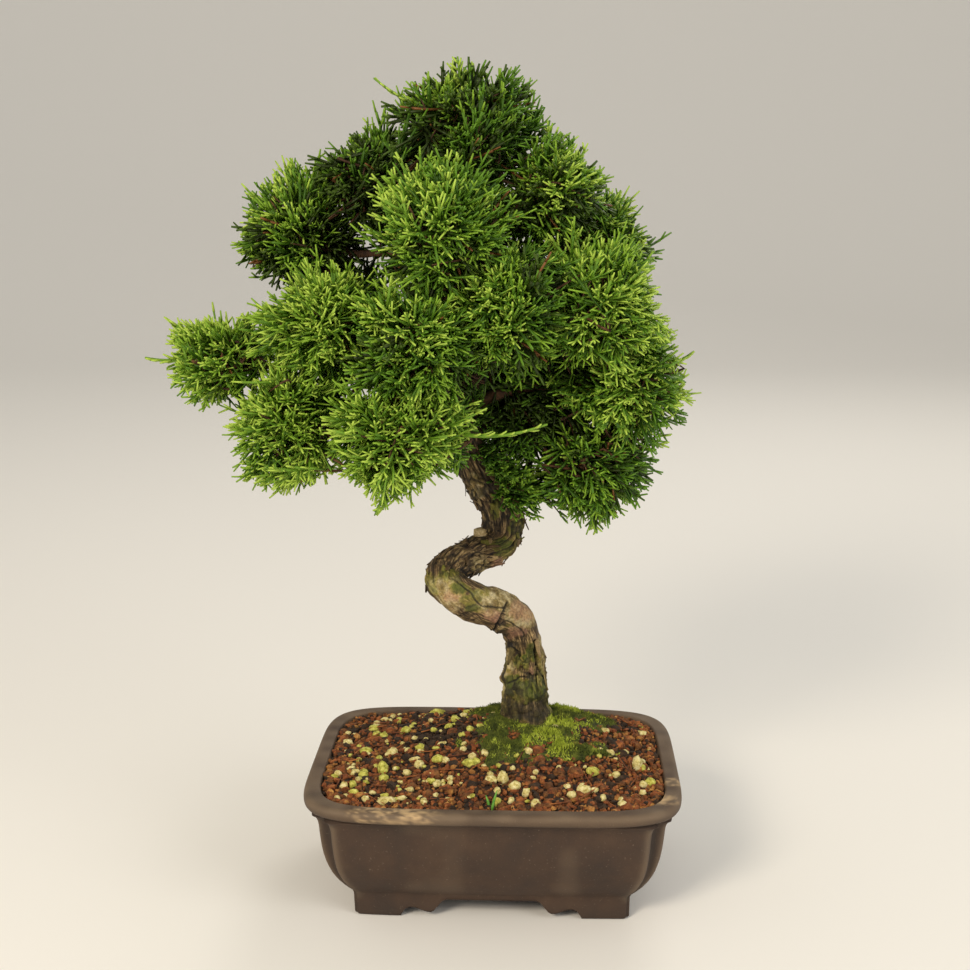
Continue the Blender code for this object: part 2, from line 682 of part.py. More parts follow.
def spindle(start, end, radius):
    """A three-sided twig, thickest at its root and pointed at its end."""
    start, end = np.array(start), np.array(end)
    axis = (end - start) / np.linalg.norm(end - start)
    side = np.cross(axis, (0.3, 0.2, 0.9))
    side /= np.linalg.norm(side)
    other = np.cross(axis, side)
    turns = [2.0 * math.pi * step / 3.0 for step in range(3)]
    ring = [start + radius * (math.cos(a) * side + math.sin(a) * other) for a in turns]
    points = [tuple(point) for point in ring] + [tuple(end)]
    return points, [(0, 1, 2), (0, 1, 3), (1, 2, 3), (2, 0, 3)]


def spray(root, direction, side, length, fingers):
    """A thin toothed blade of shoots that part from one root, thick in the palm."""
    direction, side = np.array(direction), np.array(side)
    normal = np.cross(direction, side)
    palm = root + PALM_PLACE * length * direction
    spread = [(number - 0.5 * (fingers - 1)) * FINGER_SPREAD for number in range(fingers)]
    start, notch, width = FINGER_ROOT * length, FINGER_NOTCH * length, 0.5 * SPRAY_WIDTH
    outline = [(-SPRAY_BACK * length, -width)]
    for number, angle in enumerate(spread):
        run = length * (1.0 - FINGER_DROP * abs(angle) / FINGER_SPREAD) - start
        outline.append((start + run * math.cos(angle), run * math.sin(angle)))
        if number + 1 < fingers:
            middle = 0.5 * (angle + spread[number + 1])
            outline.append((start + notch * math.cos(middle), notch * math.sin(middle)))
    outline += [(-SPRAY_BACK * length, width)]
    ring = [root + along * direction + across * side for along, across in outline]
    count = len(ring)
    thick = SPRAY_THICK * length
    points = [tuple(point) for point in ring]
    points += [tuple(palm + thick * normal), tuple(palm - thick * normal)]
    faces = []
    for index in range(count):
        after = (index + 1) % count
        faces.append((index, after, count))
        faces.append((after, index, count + 1))
    return points, faces


def place_spray(space, root, direction, length, fingers, noise):
    """A spray cut shorter until it keeps to its space, or none."""
    for share in SPRAY_SIZES:
        for _ in range(SPRAY_TRIES):
            side = any_side(direction, noise)
            points, faces = spray(root, direction, side, length * share, fingers)
            if space.holds(np.array(points), oval=SPRAY_OVAL).all():
                return points, faces
    return None


def core_shape(space, noise):
    """A closed core with a short tuft on each face, clear of limbs and neighbours."""
    middle = space.middle
    ball = bmesh.new()
    bmesh.ops.create_icosphere(ball, subdivisions=2, radius=1.0)

    def push(direction, share):
        outer = np.array(direction) / np.linalg.norm(direction) * space.half * share
        length = np.linalg.norm(outer)
        free = space.reach(middle, outer / length, clearance=CORE_CLEARANCE) - CORE_DRAW_IN
        return tuple(middle + outer / length * max(CORE_LEAST, min(length, free)))

    points, faces = [], []
    for vert in ball.verts:
        points.append(push(vert.co, CORE_SHARE * (1.0 + noise.uniform(-CORE_LUMPS, CORE_LUMPS))))
    for face in ball.faces:
        corners = tuple(vert.index for vert in face.verts)
        shift = Vector([noise.uniform(-TUFT_SHIFT, TUFT_SHIFT) for _ in range(3)])
        tuft = push(face.calc_center_median() + shift, noise.uniform(*TUFT_SHARES))
        if np.linalg.norm((np.array(tuft) - middle) / space.half) < CORE_SHARE:
            faces.append(corners)
            continue
        points.append(tuft)
        tip = len(points) - 1
        faces += [(corners[0], corners[1], tip), (corners[1], corners[2], tip),
                  (corners[2], corners[0], tip)]
    ball.free()
    return points, faces


def stem_shape(middle, entry, heading):
    """A short stem that goes on from the bough's tip, a hair clear of it, into the core."""
    root = entry[:3] + heading * CLEARANCE
    inner = middle * STEM_SHARE + root * (1.0 - STEM_SHARE)
    line = np.array([(*root, entry[3]), (*(root + STEM_STRAIGHT * heading), entry[3]),
                     (*inner, STEM_TAPER * entry[3])])
    return loft(sweep(line, BOUGH_SIDES, first=heading))


def even_directions(count, noise):
    """Directions spread evenly over a ball, turned at random."""
    turn = Matrix.Rotation(noise.uniform(0.0, 6.283), 3, "Z")
    tilt = Matrix.Rotation(noise.uniform(-0.5, 0.5), 3, "X")
    directions = []
    for number in range(count):
        height = 1.0 - (2.0 * number + 1.0) / count
        level = math.sqrt(1.0 - height * height)
        bearing = number * GOLDEN_TURN
        even = Vector((level * math.cos(bearing), level * math.sin(bearing), height))
        directions.append(np.array(turn @ tilt @ even))
    return directions


def free_ways(space, noise):
    """Ways out of the core with room beyond it, the longest first."""
    ways = []
    for direction in even_directions(DIRECTIONS_PER_MASS, noise):
        upward = direction + np.array((0.0, 0.0, UP_SWEEP))
        upward /= np.linalg.norm(upward)
        root = space.middle + ROOT_SHARE * direction * space.half * CORE_SHARE
        reach = space.reach(root, upward, oval=TIP_OVAL)
        core = space.reach(root, upward, oval=CORE_SHARE)
        if reach > core + SUNK:
            ways.append((reach - core, core, tuple(root), tuple(upward)))
    ways.sort(reverse=True)
    return ways[:SPRAYS_PER_MASS]


def forked_twig(space, root, upward, core, free, noise):
    """A twig with a spray at its end and one at its side, or nothing without room."""
    palm = root + upward * (core + PALM_SHARE * free)
    end_spray = place_spray(space, palm, upward, (1.0 - PALM_SHARE) * free, 5, noise)
    if end_spray is None:
        return []
    end = root + upward * (core + TWIG_REACH * free)
    shapes = [spindle(root, end, TWIG_RADIUS), end_spray]
    lean = any_side(upward, noise)
    fork = root + upward * (core + FORK_SHARE * free)
    aside = FORK_LEAN[0] * upward + FORK_LEAN[1] * lean
    aside /= np.linalg.norm(aside)
    side_spray = place_spray(space, fork, aside, FORK_LENGTH * free, 3, noise)
    return shapes + [side_spray] if side_spray else shapes


def grow_mass(name, space, entry, heading):
    """The shapes of one mass: its core, stem, twigs, sprays and long shoots."""
    noise = random.Random(f"{SEED} {name}")
    shapes = [core_shape(space, noise), stem_shape(space.middle, entry, heading)]
    for number, (free, core, root, upward) in enumerate(free_ways(space, noise)):
        root, upward = np.array(root), np.array(upward)
        if number < TWIGS_PER_MASS:
            shapes += forked_twig(space, root, upward, core, free, noise)
            continue
        start = root + upward * (core - SUNK)
        shape = place_spray(space, start, upward, free + SUNK, 3, noise)
        if shape:
            shapes.append(shape)
    for owner, tip in LONG_SHOOTS:
        if owner == name:
            way = np.array(tip) - space.middle
            root = space.middle + SHOOT_ROOT * way
            length = np.linalg.norm(np.array(tip) - root)
            way /= np.linalg.norm(way)
            shapes.append(spray(root, way, any_side(way, noise), length, 1))
    return shapes


def surface_tree(piece):
    shape = bmesh.new()
    shape.from_mesh(piece.data)
    tree = BVHTree.FromBMesh(shape)
    shape.free()
    return tree


def join(name, shapes, limbs, material):
    """Fuse the shapes of one mass into one closed body, cut clear of limbs it touches."""
    group = bpy.data.collections.new("shapes of " + name)
    bpy.context.scene.collection.children.link(group)
    mass = make_object(name, *shapes[0], material)
    for number, shape in enumerate(shapes[1:]):
        piece = make_object(f"shape_{number}", *shape)
        bpy.context.scene.collection.objects.unlink(piece)
        group.objects.link(piece)
    step = mass.modifiers.new("fuse", "BOOLEAN")
    step.operation = "UNION"
    step.operand_type = "COLLECTION"
    step.collection = group
    step.solver = "MANIFOLD"
    apply_modifiers(mass)
    for piece in list(group.objects):
        bpy.data.objects.remove(piece)
    bpy.data.collections.remove(group)
    for limb, tree in limbs:
        if surface_tree(mass).overlap(tree):
            cut_away(mass, limb).solver = "MANIFOLD"
            apply_modifiers(mass)
    keep_largest(mass)


def keep_largest(piece):
    """Drop the loose scraps of a mesh."""
    shape = bmesh.new()
    shape.from_mesh(piece.data)
    left = set(shape.verts)
    groups = []
    while left:
        group, open_ends = set(), [left.pop()]
        while open_ends:
            vert = open_ends.pop()
            group.add(vert)
            for edge in vert.link_edges:
                other = edge.other_vert(vert)
                if other in left:
                    left.discard(other)
                    open_ends.append(other)
        groups.append(group)
    groups.sort(key=len)
    scraps = [vert for group in groups[:-1] for vert in group]
    bmesh.ops.delete(shape, geom=scraps, context="VERTS")
    shape.to_mesh(piece.data)
    shape.free()


def limb_room(lines):
    """Points along every limb and stem, with radii, that foliage keeps clear of."""
    points = {name: np.concatenate([line, 0.5 * (line[1:] + line[:-1])])
              for name, line in lines.items()}
    shares = np.linspace(0.1, 0.9, 9)[:, None]
    for name in list(lines)[1:]:
        tip = lines[name][-1]
        middle = np.array((*MASSES[name][0], STEM_TAPER * tip[3]))
        points["stem " + name] = tip * (1.0 - shares) + middle * shares
    return points


def main():
    for piece in list(bpy.data.objects):
        bpy.data.objects.remove(piece)
    bpy.context.scene.unit_settings.system = "METRIC"
    clay, earth, moss_green, bark, green = (finish(name) for name in FINISHES)

    make_pot(clay)
    soil_hollow = make_soil(earth)
    make_moss(soil_hollow, moss_green)

    trunk_line = smooth_line(TRUNK_LINE, TRUNK_STEP)
    lines = plan_limbs(trunk_line)
    boughs = list(lines)[1:]
    hollows = {"trunk": make_trunk(trunk_line, bark)}
    for name in boughs:
        grown = loft(sweep(lines[name], BOUGH_SIDES, grow=CUTTER_GROWTH))
        hollows[name] = cutter("clearance_" + name, *grown)
    for name in boughs:
        make_bough(name, lines[name], hollows[MASSES[name][2]], bark)

    room = limb_room(lines)
    limbs = [(hollow, surface_tree(hollow)) for hollow in hollows.values()]
    for name in MASSES:
        line = lines.get(name, trunk_line)
        heading = line[-1][:3] - line[-2][:3]
        heading /= np.linalg.norm(heading)
        others = [points for limb, points in room.items() if limb != "stem " + name]
        space = Space(name, np.concatenate(others))
        join("foliage_" + name, grow_mass(name, space, line[-1], heading), limbs, green)

    plant = bpy.data.objects.new("plant", None)
    bpy.context.scene.collection.objects.link(plant)
    for piece in bpy.context.scene.objects:
        if piece is not plant:
            piece.parent = plant
    plant.location = Vector(PLANT_PLACE) * MM


main()
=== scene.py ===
import math
import random

import bmesh
import bpy
import numpy as np
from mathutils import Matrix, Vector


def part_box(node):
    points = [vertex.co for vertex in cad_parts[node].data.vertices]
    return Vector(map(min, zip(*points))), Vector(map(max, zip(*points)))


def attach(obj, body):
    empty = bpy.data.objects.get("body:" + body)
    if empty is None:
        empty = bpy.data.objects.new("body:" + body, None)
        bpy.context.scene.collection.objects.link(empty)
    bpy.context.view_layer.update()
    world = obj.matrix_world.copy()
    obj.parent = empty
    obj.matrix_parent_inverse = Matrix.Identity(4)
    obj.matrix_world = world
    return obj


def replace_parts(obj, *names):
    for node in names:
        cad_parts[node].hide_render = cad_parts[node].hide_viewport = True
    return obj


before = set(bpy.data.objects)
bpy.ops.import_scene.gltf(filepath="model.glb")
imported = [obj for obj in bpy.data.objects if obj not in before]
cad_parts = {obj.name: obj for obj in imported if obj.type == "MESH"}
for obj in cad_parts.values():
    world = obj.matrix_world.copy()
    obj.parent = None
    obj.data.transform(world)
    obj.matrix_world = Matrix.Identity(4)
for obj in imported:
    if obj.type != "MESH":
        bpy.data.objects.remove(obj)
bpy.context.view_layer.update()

# Everything below is in millimetres from the middle of the pot on the ground,
# +X right, +Y away from the viewer, +Z up. addPiece turns it into metres.
potLow, potHigh = (np.array(corner) * 1000.0 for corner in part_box("pot"))
potHalf = 0.5 * (potHigh - potLow)
plantPlace = np.array([*(0.5 * (potLow + potHigh))[:2], 0.0])
golden = math.pi * (3.0 - math.sqrt(5.0))      # turn between neighbours of an even spread
up = np.array([0.0, 0.0, 1.0])


# Shared tools


def linear(hexColour):
    # sRGB hex to linear light: the low end is straight, the rest a power of 2.4
    parts = [int(hexColour[place:place + 2], 16) / 255.0 for place in (1, 3, 5)]
    return (*[p / 12.92 if p <= 0.04045 else ((p + 0.055) / 1.055) ** 2.4 for p in parts], 1.0)


def perMetre(millimetres):
    return 1000.0 / millimetres                # texture scale for a pattern of this size


def unit(vectors):
    # Each vector over its own length
    return vectors / np.maximum(np.linalg.norm(vectors, axis=-1, keepdims=True), 1e-9)


def newMaterial(name, roughness, colour="#808080", **values):
    # A material and its shader, with other sockets set by name, spaces written as _
    material = bpy.data.materials.new(name)
    material.use_nodes = True
    shader = material.node_tree.nodes["Principled BSDF"]
    shader.inputs["Base Color"].default_value = linear(colour)
    shader.inputs["Roughness"].default_value = roughness
    for socket, value in values.items():
        shader.inputs[socket.replace("_", " ")].default_value = value
    return material, shader


def addNode(material, kind, links=None, stops=None, **settings):
    # One node with its settings, its links or values, and the stops of its ramp
    made = material.node_tree.nodes.new(kind)
    for key, value in settings.items():
        setattr(made, key, value)
    for socket, value in (links or {}).items():
        if isinstance(value, bpy.types.NodeSocket):
            material.node_tree.links.new(value, made.inputs[socket])
        else:
            made.inputs[socket].default_value = value
    if stops:
        elements = made.color_ramp.elements
        while len(elements) < len(stops):
            elements.new(0.5)
        for element, (place, colour) in zip(elements, stops):
            element.position = place
            element.color = linear(colour) if isinstance(colour, str) else (*[colour] * 3, 1.0)
    return made


def addPiece(name, points, faces, material, slot, smooth=True, marks=None):
    # Arrays of points and faces into one mesh object at the origin, riding on the plant
    mesh = bpy.data.meshes.new(name)
    mesh.vertices.add(len(points))
    mesh.vertices.foreach_set("co", ((points + plantPlace) * 0.001).astype(np.float32).ravel())
    sizes = np.concatenate([np.full(len(group), group.shape[1]) for group in faces])
    corners = np.concatenate([group.ravel() for group in faces])
    mesh.loops.add(len(corners))
    mesh.loops.foreach_set("vertex_index", corners.astype(np.int32))
    mesh.polygons.add(len(sizes))
    starts = np.concatenate([[0], np.cumsum(sizes)[:-1]])
    mesh.polygons.foreach_set("loop_start", starts.astype(np.int32))
    mesh.polygons.foreach_set("use_smooth", np.full(len(sizes), smooth))
    for mark, values in (marks or {}).items():
        kind, key = ("FLOAT_VECTOR", "vector") if values.ndim > 1 else ("FLOAT", "value")
        mesh.attributes.new(mark, kind, "POINT").data.foreach_set(key, values.astype(np.float32).ravel())
    mesh.update(calc_edges=True)
    mesh.materials.append(material)
    piece = bpy.data.objects.new(name, mesh)
    bpy.context.scene.collection.objects.link(piece)
    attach(piece, "root")
    print(f"{name}: {int((sizes - 2).sum())} triangles")
    return piece


def loftFaces(rings, around, closeStart=True, closeEnd=True):
    # Quads between neighbouring rings of one grid, and a flat face over each open end
    index = np.arange(rings * around).reshape(rings, around)
    after = np.roll(index, -1, axis=1)
    quads = np.stack([index[:-1], after[:-1], after[1:], index[1:]], axis=-1).reshape(-1, 4)
    faces = [quads]
    if closeStart:
        faces.append(index[:1, ::-1])
    if closeEnd:
        faces.append(index[-1:])
    return faces


def tubes(lines, radii, sides):
    # Closed tubes along many lines at once. A ring is its centre plus the radius times
    # (cosine of the turn times one side, plus sine times the other), square to the line.
    count, rings = radii.shape
    along = unit(np.gradient(lines, axis=1))
    steep = abs(along[:, :1, 2:3]) > 0.8
    lean = np.where(steep, np.array([1.0, 0.0, 0.0]), up)
    side = unit(np.cross(along, lean))
    other = np.cross(along, side)
    turns = 2.0 * np.pi * np.arange(sides) / sides
    ring = (np.cos(turns)[:, None] * side[:, :, None] + np.sin(turns)[:, None] * other[:, :, None])
    points = (lines[:, :, None] + radii[:, :, None, None] * ring).reshape(-1, 3)
    index = np.arange(count * rings * sides).reshape(count, rings, sides)
    after = np.roll(index, -1, axis=2)
    quads = np.stack([index[:, :-1], after[:, :-1], after[:, 1:], index[:, 1:]], axis=-1)
    return points, [quads.reshape(-1, 4), index[:, 0, ::-1], index[:, -1]]


def joinShapes(shapes):
    # Several (points, faces) in one, with each face's numbers moved on by the points before it
    points, faces, start = [], [], 0
    for some, groups in shapes:
        points.append(some)
        faces += [group + start for group in groups]
        start += len(some)
    return np.concatenate(points), faces


def hashed(cells, seed):
    # A fixed number from 0 to 1 for each lattice cell, by mixing its bits
    cells = cells.astype(np.int64)
    mixed = cells[..., 0] * 374761393 + cells[..., 1] * 668265263 + cells[..., 2] * 1440662683
    mixed = (mixed + seed * 974711) & 0xFFFFFFFF
    mixed = ((mixed ^ (mixed >> 13)) * 1274126177) & 0xFFFFFFFF
    return ((mixed ^ (mixed >> 16)) & 0xFFFFF) / 0xFFFFF


def softNoise(points, size, seed):
    # Smooth noise from -1 to 1: eight hashed lattice corners, blended by 3t^2 - 2t^3
    scaled = points / size
    cell = np.floor(scaled)
    part = scaled - cell
    fade = part * part * (3.0 - 2.0 * part)
    total = np.zeros(points.shape[:-1])
    for corner in np.ndindex(2, 2, 2):
        weight = np.prod(np.where(np.array(corner) == 1, fade, 1.0 - fade), axis=-1)
        total += weight * hashed(cell + corner, seed)
    return 2.0 * total - 1.0


def cellNoise(points, size, seed):
    # Distances, in cells, to the nearest and the second nearest of one point per lattice cell
    scaled = points / size
    cell = np.floor(scaled)
    nearest = np.full(points.shape[:-1], 9.0)
    second = nearest.copy()
    for offset in np.ndindex(3, 3, 3):
        there = cell + np.array(offset) - 1
        spot = there + np.stack([hashed(there, seed + axis) for axis in range(3)], axis=-1)
        away = np.linalg.norm(scaled - spot, axis=-1)
        second = np.minimum(second, np.maximum(nearest, away))
        nearest = np.minimum(nearest, away)
    return nearest, second


def blob(points, middle, radius):
    # 1 at a place and 0 beyond its radius, with a soft edge
    away = np.linalg.norm((points - np.array(middle)) / radius, axis=-1)
    return np.clip(1.0 - away, 0.0, 1.0) ** 0.7


def placed(points, places):
    # The strongest of several soft round places
    best = np.zeros(points.shape[:-1])
    for middle, radius in places:
        best = np.maximum(best, blob(points, middle, radius))
    return best


def smoothLine(points, step, perSpan=12):
    # Catmull-Rom curve: each span blends four points by cubic weights, read at even steps
    knots = np.array(points, float)
    knots = np.vstack([2 * knots[0] - knots[1], knots, 2 * knots[-1] - knots[-2]])
    share = np.linspace(0.0, 1.0, perSpan, endpoint=False)[:, None]
    a, b, c, d = (knots[first:len(knots) - 3 + first, None] for first in range(4))
    dense = 0.5 * (2 * b + (c - a) * share + (2 * a - 5 * b + 4 * c - d) * share ** 2
                   + (3 * b - a - 3 * c + d) * share ** 3)
    dense = np.vstack([dense.reshape(-1, knots.shape[1]), knots[-2]])
    lengths = np.linalg.norm(np.diff(dense[:, :3], axis=0), axis=1)
    travelled = np.concatenate([[0.0], np.cumsum(lengths)])
    places = np.linspace(0.0, travelled[-1], max(3, int(round(travelled[-1] / step)) + 1))
    return np.stack([np.interp(places, travelled, column) for column in dense.T], axis=1)


# Camera, floor and light

cameraView = {
    "focalPixels": 1524.0,                     # fitted to the pot's rim and feet in the picture
    "pictureSide": 970.0, "sensorWidth": 36.0,
    "place": (22.4, -711.7, 357.0),
    "pitchDown": math.radians(12.44),
    "panLeft": math.radians(2.19),
}


def addCamera():
    # Lens in mm: focal pixels over the picture's side, times the sensor's width
    lens = bpy.data.cameras.new("camera")
    lens.sensor_width = cameraView["sensorWidth"]
    lens.lens = cameraView["focalPixels"] / cameraView["pictureSide"] * cameraView["sensorWidth"]
    lens.clip_start = 0.01
    camera = bpy.data.objects.new("camera", lens)
    camera.location = (np.array(cameraView["place"]) + plantPlace) * 0.001
    camera.rotation_euler = (0.5 * math.pi - cameraView["pitchDown"], 0.0, cameraView["panLeft"])
    bpy.context.scene.collection.objects.link(camera)
    bpy.context.scene.camera = camera
    bpy.context.scene.view_settings.view_transform = "Standard"    # leaves the greens as they are


def cameraAxes():
    # The camera's place, then ahead, right and above it, from the sines and cosines of its turns
    pitch, pan = cameraView["pitchDown"], cameraView["panLeft"]
    ahead = np.array([-math.sin(pan) * math.cos(pitch), math.cos(pan) * math.cos(pitch), -math.sin(pitch)])
    right = np.array([math.cos(pan), math.sin(pan), 0.0])
    return np.array(cameraView["place"]), ahead, right, np.cross(right, ahead)


def underPixel(u, v, height):
    # Where the picture's ray through a pixel meets a level plane: start plus ray times
    # the height still to go over the ray's own drop
    start, ahead, right, above = cameraAxes()
    middle, focal = 0.5 * cameraView["pictureSide"], cameraView["focalPixels"]
    ray = ahead + right * (u - middle) / focal + above * (middle - v) / focal
    return start + ray * (height - start[2]) / ray[2]


def pixelOf(points):
    # Where places show in the picture: focal length times sideways (or upward) over depth
    start, ahead, right, above = cameraAxes()
    middle, focal = 0.5 * cameraView["pictureSide"], cameraView["focalPixels"]
    offset = points - start
    depth = offset @ ahead
    return np.stack([middle + focal * (offset @ right) / depth,
                     middle - focal * (offset @ above) / depth], axis=-1)


studio = {
    "floorHalf": 9.0,                          # metres, and so are the next three
    "sweepStart": 1.8, "sweepRadius": 1.6, "wallTop": 7.0,
    "floorColour": "#efede9",
    "worldColour": "#e3e0da",
    "worldStrength": 0.68,
    "lampAim": (0.0, 0.0, 0.22),               # metres, about half way up the plant
    # name: place in metres, side of the lamp in metres, watts, colour
    "lamps": {
        "keyLight": ((-0.75, -1.30, 1.05), 0.5, 19.0, "#fff1da"),
        "fillLight": ((1.25, -0.85, 0.75), 0.9, 9.0, "#fbf8f2"),
        "backLight": ((0.5, 1.2, 1.25), 0.6, 5.5, "#fffaf0"),
    },
}


def addStudio():
    # A backdrop that sweeps up behind the plant, light from all round, and lamps turned to lampAim
    half = studio["floorHalf"]
    paper, shader = newMaterial("pale matt backdrop paper", 0.9, studio["floorColour"])
    grain = addNode(paper, "ShaderNodeTexNoise", {"Scale": perMetre(4.0), "Detail": 3.0,
                    "Vector": addNode(paper, "ShaderNodeTexCoord").outputs["Object"]})
    lift = addNode(paper, "ShaderNodeBump", {"Strength": 0.04, "Distance": 0.0005,
                                             "Height": grain.outputs[0]})
    paper.node_tree.links.new(lift.outputs["Normal"], shader.inputs["Normal"])
    # Flat, then a quarter circle: along by r sin(a), up by r (1 - cos(a)), then straight up
    bend = np.linspace(0.0, 0.5 * np.pi, 40)
    along = np.r_[-half, studio["sweepStart"] + studio["sweepRadius"] * np.sin(bend)]
    rise = np.r_[0.0, studio["sweepRadius"] * (1.0 - np.cos(bend))]
    line = np.column_stack([np.r_[along, along[-1]], np.r_[rise, studio["wallTop"]]])
    points = np.concatenate([np.column_stack([np.full(len(line), x), line]) for x in (half, -half)])
    step = np.arange(len(line) - 1)
    mesh = bpy.data.meshes.new("floor")
    mesh.from_pydata(points.tolist(), [], np.column_stack(
        [step, step + 1, step + 1 + len(line), step + len(line)]).tolist())
    mesh.shade_smooth()
    mesh.materials.append(paper)
    floor = bpy.data.objects.new("floor", mesh)
    bpy.context.scene.collection.objects.link(floor)
    world = bpy.data.worlds.new("studio")
    world.use_nodes = True
    background = world.node_tree.nodes["Background"]
    background.inputs["Color"].default_value = linear(studio["worldColour"])
    background.inputs["Strength"].default_value = studio["worldStrength"]
    bpy.context.scene.world = world
    for name, (place, side, watts, colour) in studio["lamps"].items():
        lamp = bpy.data.lights.new(name, "AREA")
        lamp.size = side
        lamp.energy = watts
        lamp.color = linear(colour)[:3]
        holder = bpy.data.objects.new(name, lamp)
        holder.location = place
        away = unit(np.array(place) - studio["lampAim"])
        holder.rotation_euler = (math.acos(away[2]), 0.0, math.atan2(away[1], away[0]) + 0.5 * math.pi)
        bpy.context.scene.collection.objects.link(holder)


# Pot

pot = {
    "rimTopWidth": 7.5, "rimLedge": 8.0, "rimBand": 6.0, "rimPower": 5.8,
    "rimRound": 2.6, "rimInnerRound": 0.9,
    # under the rim: how far in and how far down, round the lip and back to the wall
    "rimUnder": ((0.0, 3.4), (0.1, 4.2), (0.6, 5.1), (1.6, 5.8), (3.1, 6.3), (4.6, 6.8)),
    "cove": ((-2.3, 7.6), (-1.3, 8.6), (-0.7, 9.8), (-0.3, 11.3), (-0.1, 13.0)),
    "wallTop": 54.0, "wallSlope": 0.2, "cornerNotch": 7.0, "notchLobe": 0.42, "panelBow": 1.2,
    "notchSoftness": 9,
    "footHalf": (66.0, 49.0), "footTop": 12.0, "footWall": 7.0, "footNotch": 1.6,
    "floorUnder": 10.0, "floorTop": 16.0,
    # rings, each as how far in and how high: up the inside, and round the outer edge of a foot
    "inside": ((19.0, 32.0), (15.5, 50.0)), "footUnder": ((0.6, 0.5), (1.3, 0.1), (2.2, 0.0)),
    "rimFlat": (5.2, 3.9),                     # rings on the flat top of the rim, how far in
    "wallLevels": ((47.0, 24.0, 11), (22.0, 12.5, 9)),             # from, to, how many rings
    "footLevels": (11.0, 8.0, 6.0, 4.0, 2.5, 1.2),
    # the lower edge from the inner end of a foot: how far along, and how high
    "footLength": (23.0, 18.0), "edgeStretch": (1.0, 0.8),
    "footEdge": ((0.0, 0.0), (0.7, 2.2), (2.0, 4.2), (4.2, 5.3), (6.6, 5.2), (9.4, 4.1), (12.0, 3.0),
                 (14.2, 2.8), (16.0, 3.8), (17.8, 6.2), (19.6, 8.6), (21.0, 9.5)),
    "drainRadius": 6.0, "drainPlace": 36.0, "drainRun": (2.0, 24.0), "drainSides": 32,
    "handWaves": 0.22,                         # how uneven the pressed walls are
    # photograph places of the pale mineral crust on the rim, and the crust's half width in mm
    "crust": ((400, 817, 21.0), (368, 813, 11.0), (660, 799, 10.0), (445, 828, 3.0), (672, 782, 5.0)),
}


def panelOutline(halfX, halfY, notch):
    # One quarter: a bowed panel (1 - s^2), a round lobe, the step in and out of the corner,
    # a second lobe and the other bowed panel. The other quarters are its mirror images.
    lobe = pot["notchLobe"] * notch
    flatX, flatY = halfX - notch - lobe, halfY - notch - lobe
    share = np.linspace(0.0, 1.0, 42, endpoint=False)
    arc = np.linspace(0.5 * np.pi, 0.0, 9)
    step = np.linspace(0.0, 1.0, 6)[1:]
    x = [flatX * share, flatX + lobe * np.cos(arc), np.full(5, halfX - notch),
         halfX - notch + (notch - lobe) * step[:-1],
         halfX - lobe + lobe * np.cos(arc), halfX + pot["panelBow"] * (1.0 - share[1:-8][::-1] ** 2)]
    y = [halfY + pot["panelBow"] * (1.0 - share ** 2), halfY - lobe + lobe * np.sin(arc),
         halfY - lobe - (notch - lobe) * step, np.full(4, halfY - notch),
         flatY + lobe * np.sin(arc), flatY * share[1:-8][::-1]]
    x, y = np.concatenate(x), np.concatenate(y)
    side = (np.array([halfX + pot["panelBow"]]), np.array([0.0]))
    rightX = np.concatenate([x, side[0], x[1:][::-1]])
    rightY = np.concatenate([y, side[1], -y[1:][::-1]])
    outline = np.stack([np.concatenate([rightX, -rightX]), np.concatenate([rightY, -rightY])], axis=1)
    for _ in range(pot["notchSoftness"]):      # rounds the inner corner of each notch
        outline = 0.25 * np.roll(outline, 1, axis=0) + 0.5 * outline + 0.25 * np.roll(outline, -1, axis=0)
    return outline[::-1]


def rimOutline(halfX, halfY):
    # Squarish oval |x/a|^p + |y/b|^p = 1, read in the directions of the panel outline
    panel = panelOutline(potHalf[0] - pot["rimLedge"], potHalf[1] - pot["rimLedge"],
                         pot["cornerNotch"])
    bearing = np.arctan2(panel[:, 1], panel[:, 0])
    power = pot["rimPower"]
    reach = (abs(np.cos(bearing) / halfX) ** power + abs(np.sin(bearing) / halfY) ** power) ** (-1.0 / power)
    return np.stack([reach * np.cos(bearing), reach * np.sin(bearing)], axis=1)


def wallHalf(height):
    # The wall runs in from the rim as 0.2 d + 0.8 d^4 of the way, d from 0 under the rim to 1
    top = potHigh[2] - pot["rimBand"]
    drop = np.clip((top - height) / (top - pot["footTop"]), 0.0, 1.0)
    share = pot["wallSlope"] * drop + (1.0 - pot["wallSlope"]) * drop ** 4
    half = [potHalf[axis] - pot["rimLedge"] + (pot["footHalf"][axis] - potHalf[axis]
            + pot["rimLedge"]) * share for axis in (0, 1)]
    return half[0], half[1], pot["cornerNotch"] + (pot["footNotch"] - pot["cornerNotch"]) * share


def footEdge(outline):
    # Height of the lower edge: a foot at each corner, a scallop beside it, a lobe, then the apron
    place, height = np.array(pot["footEdge"]).T
    levels = [np.interp((pot["footHalf"][axis] - pot["footLength"][axis] - abs(outline[:, axis]))
                        / pot["edgeStretch"][axis], place, height) for axis in (0, 1)]
    return np.maximum(*levels)


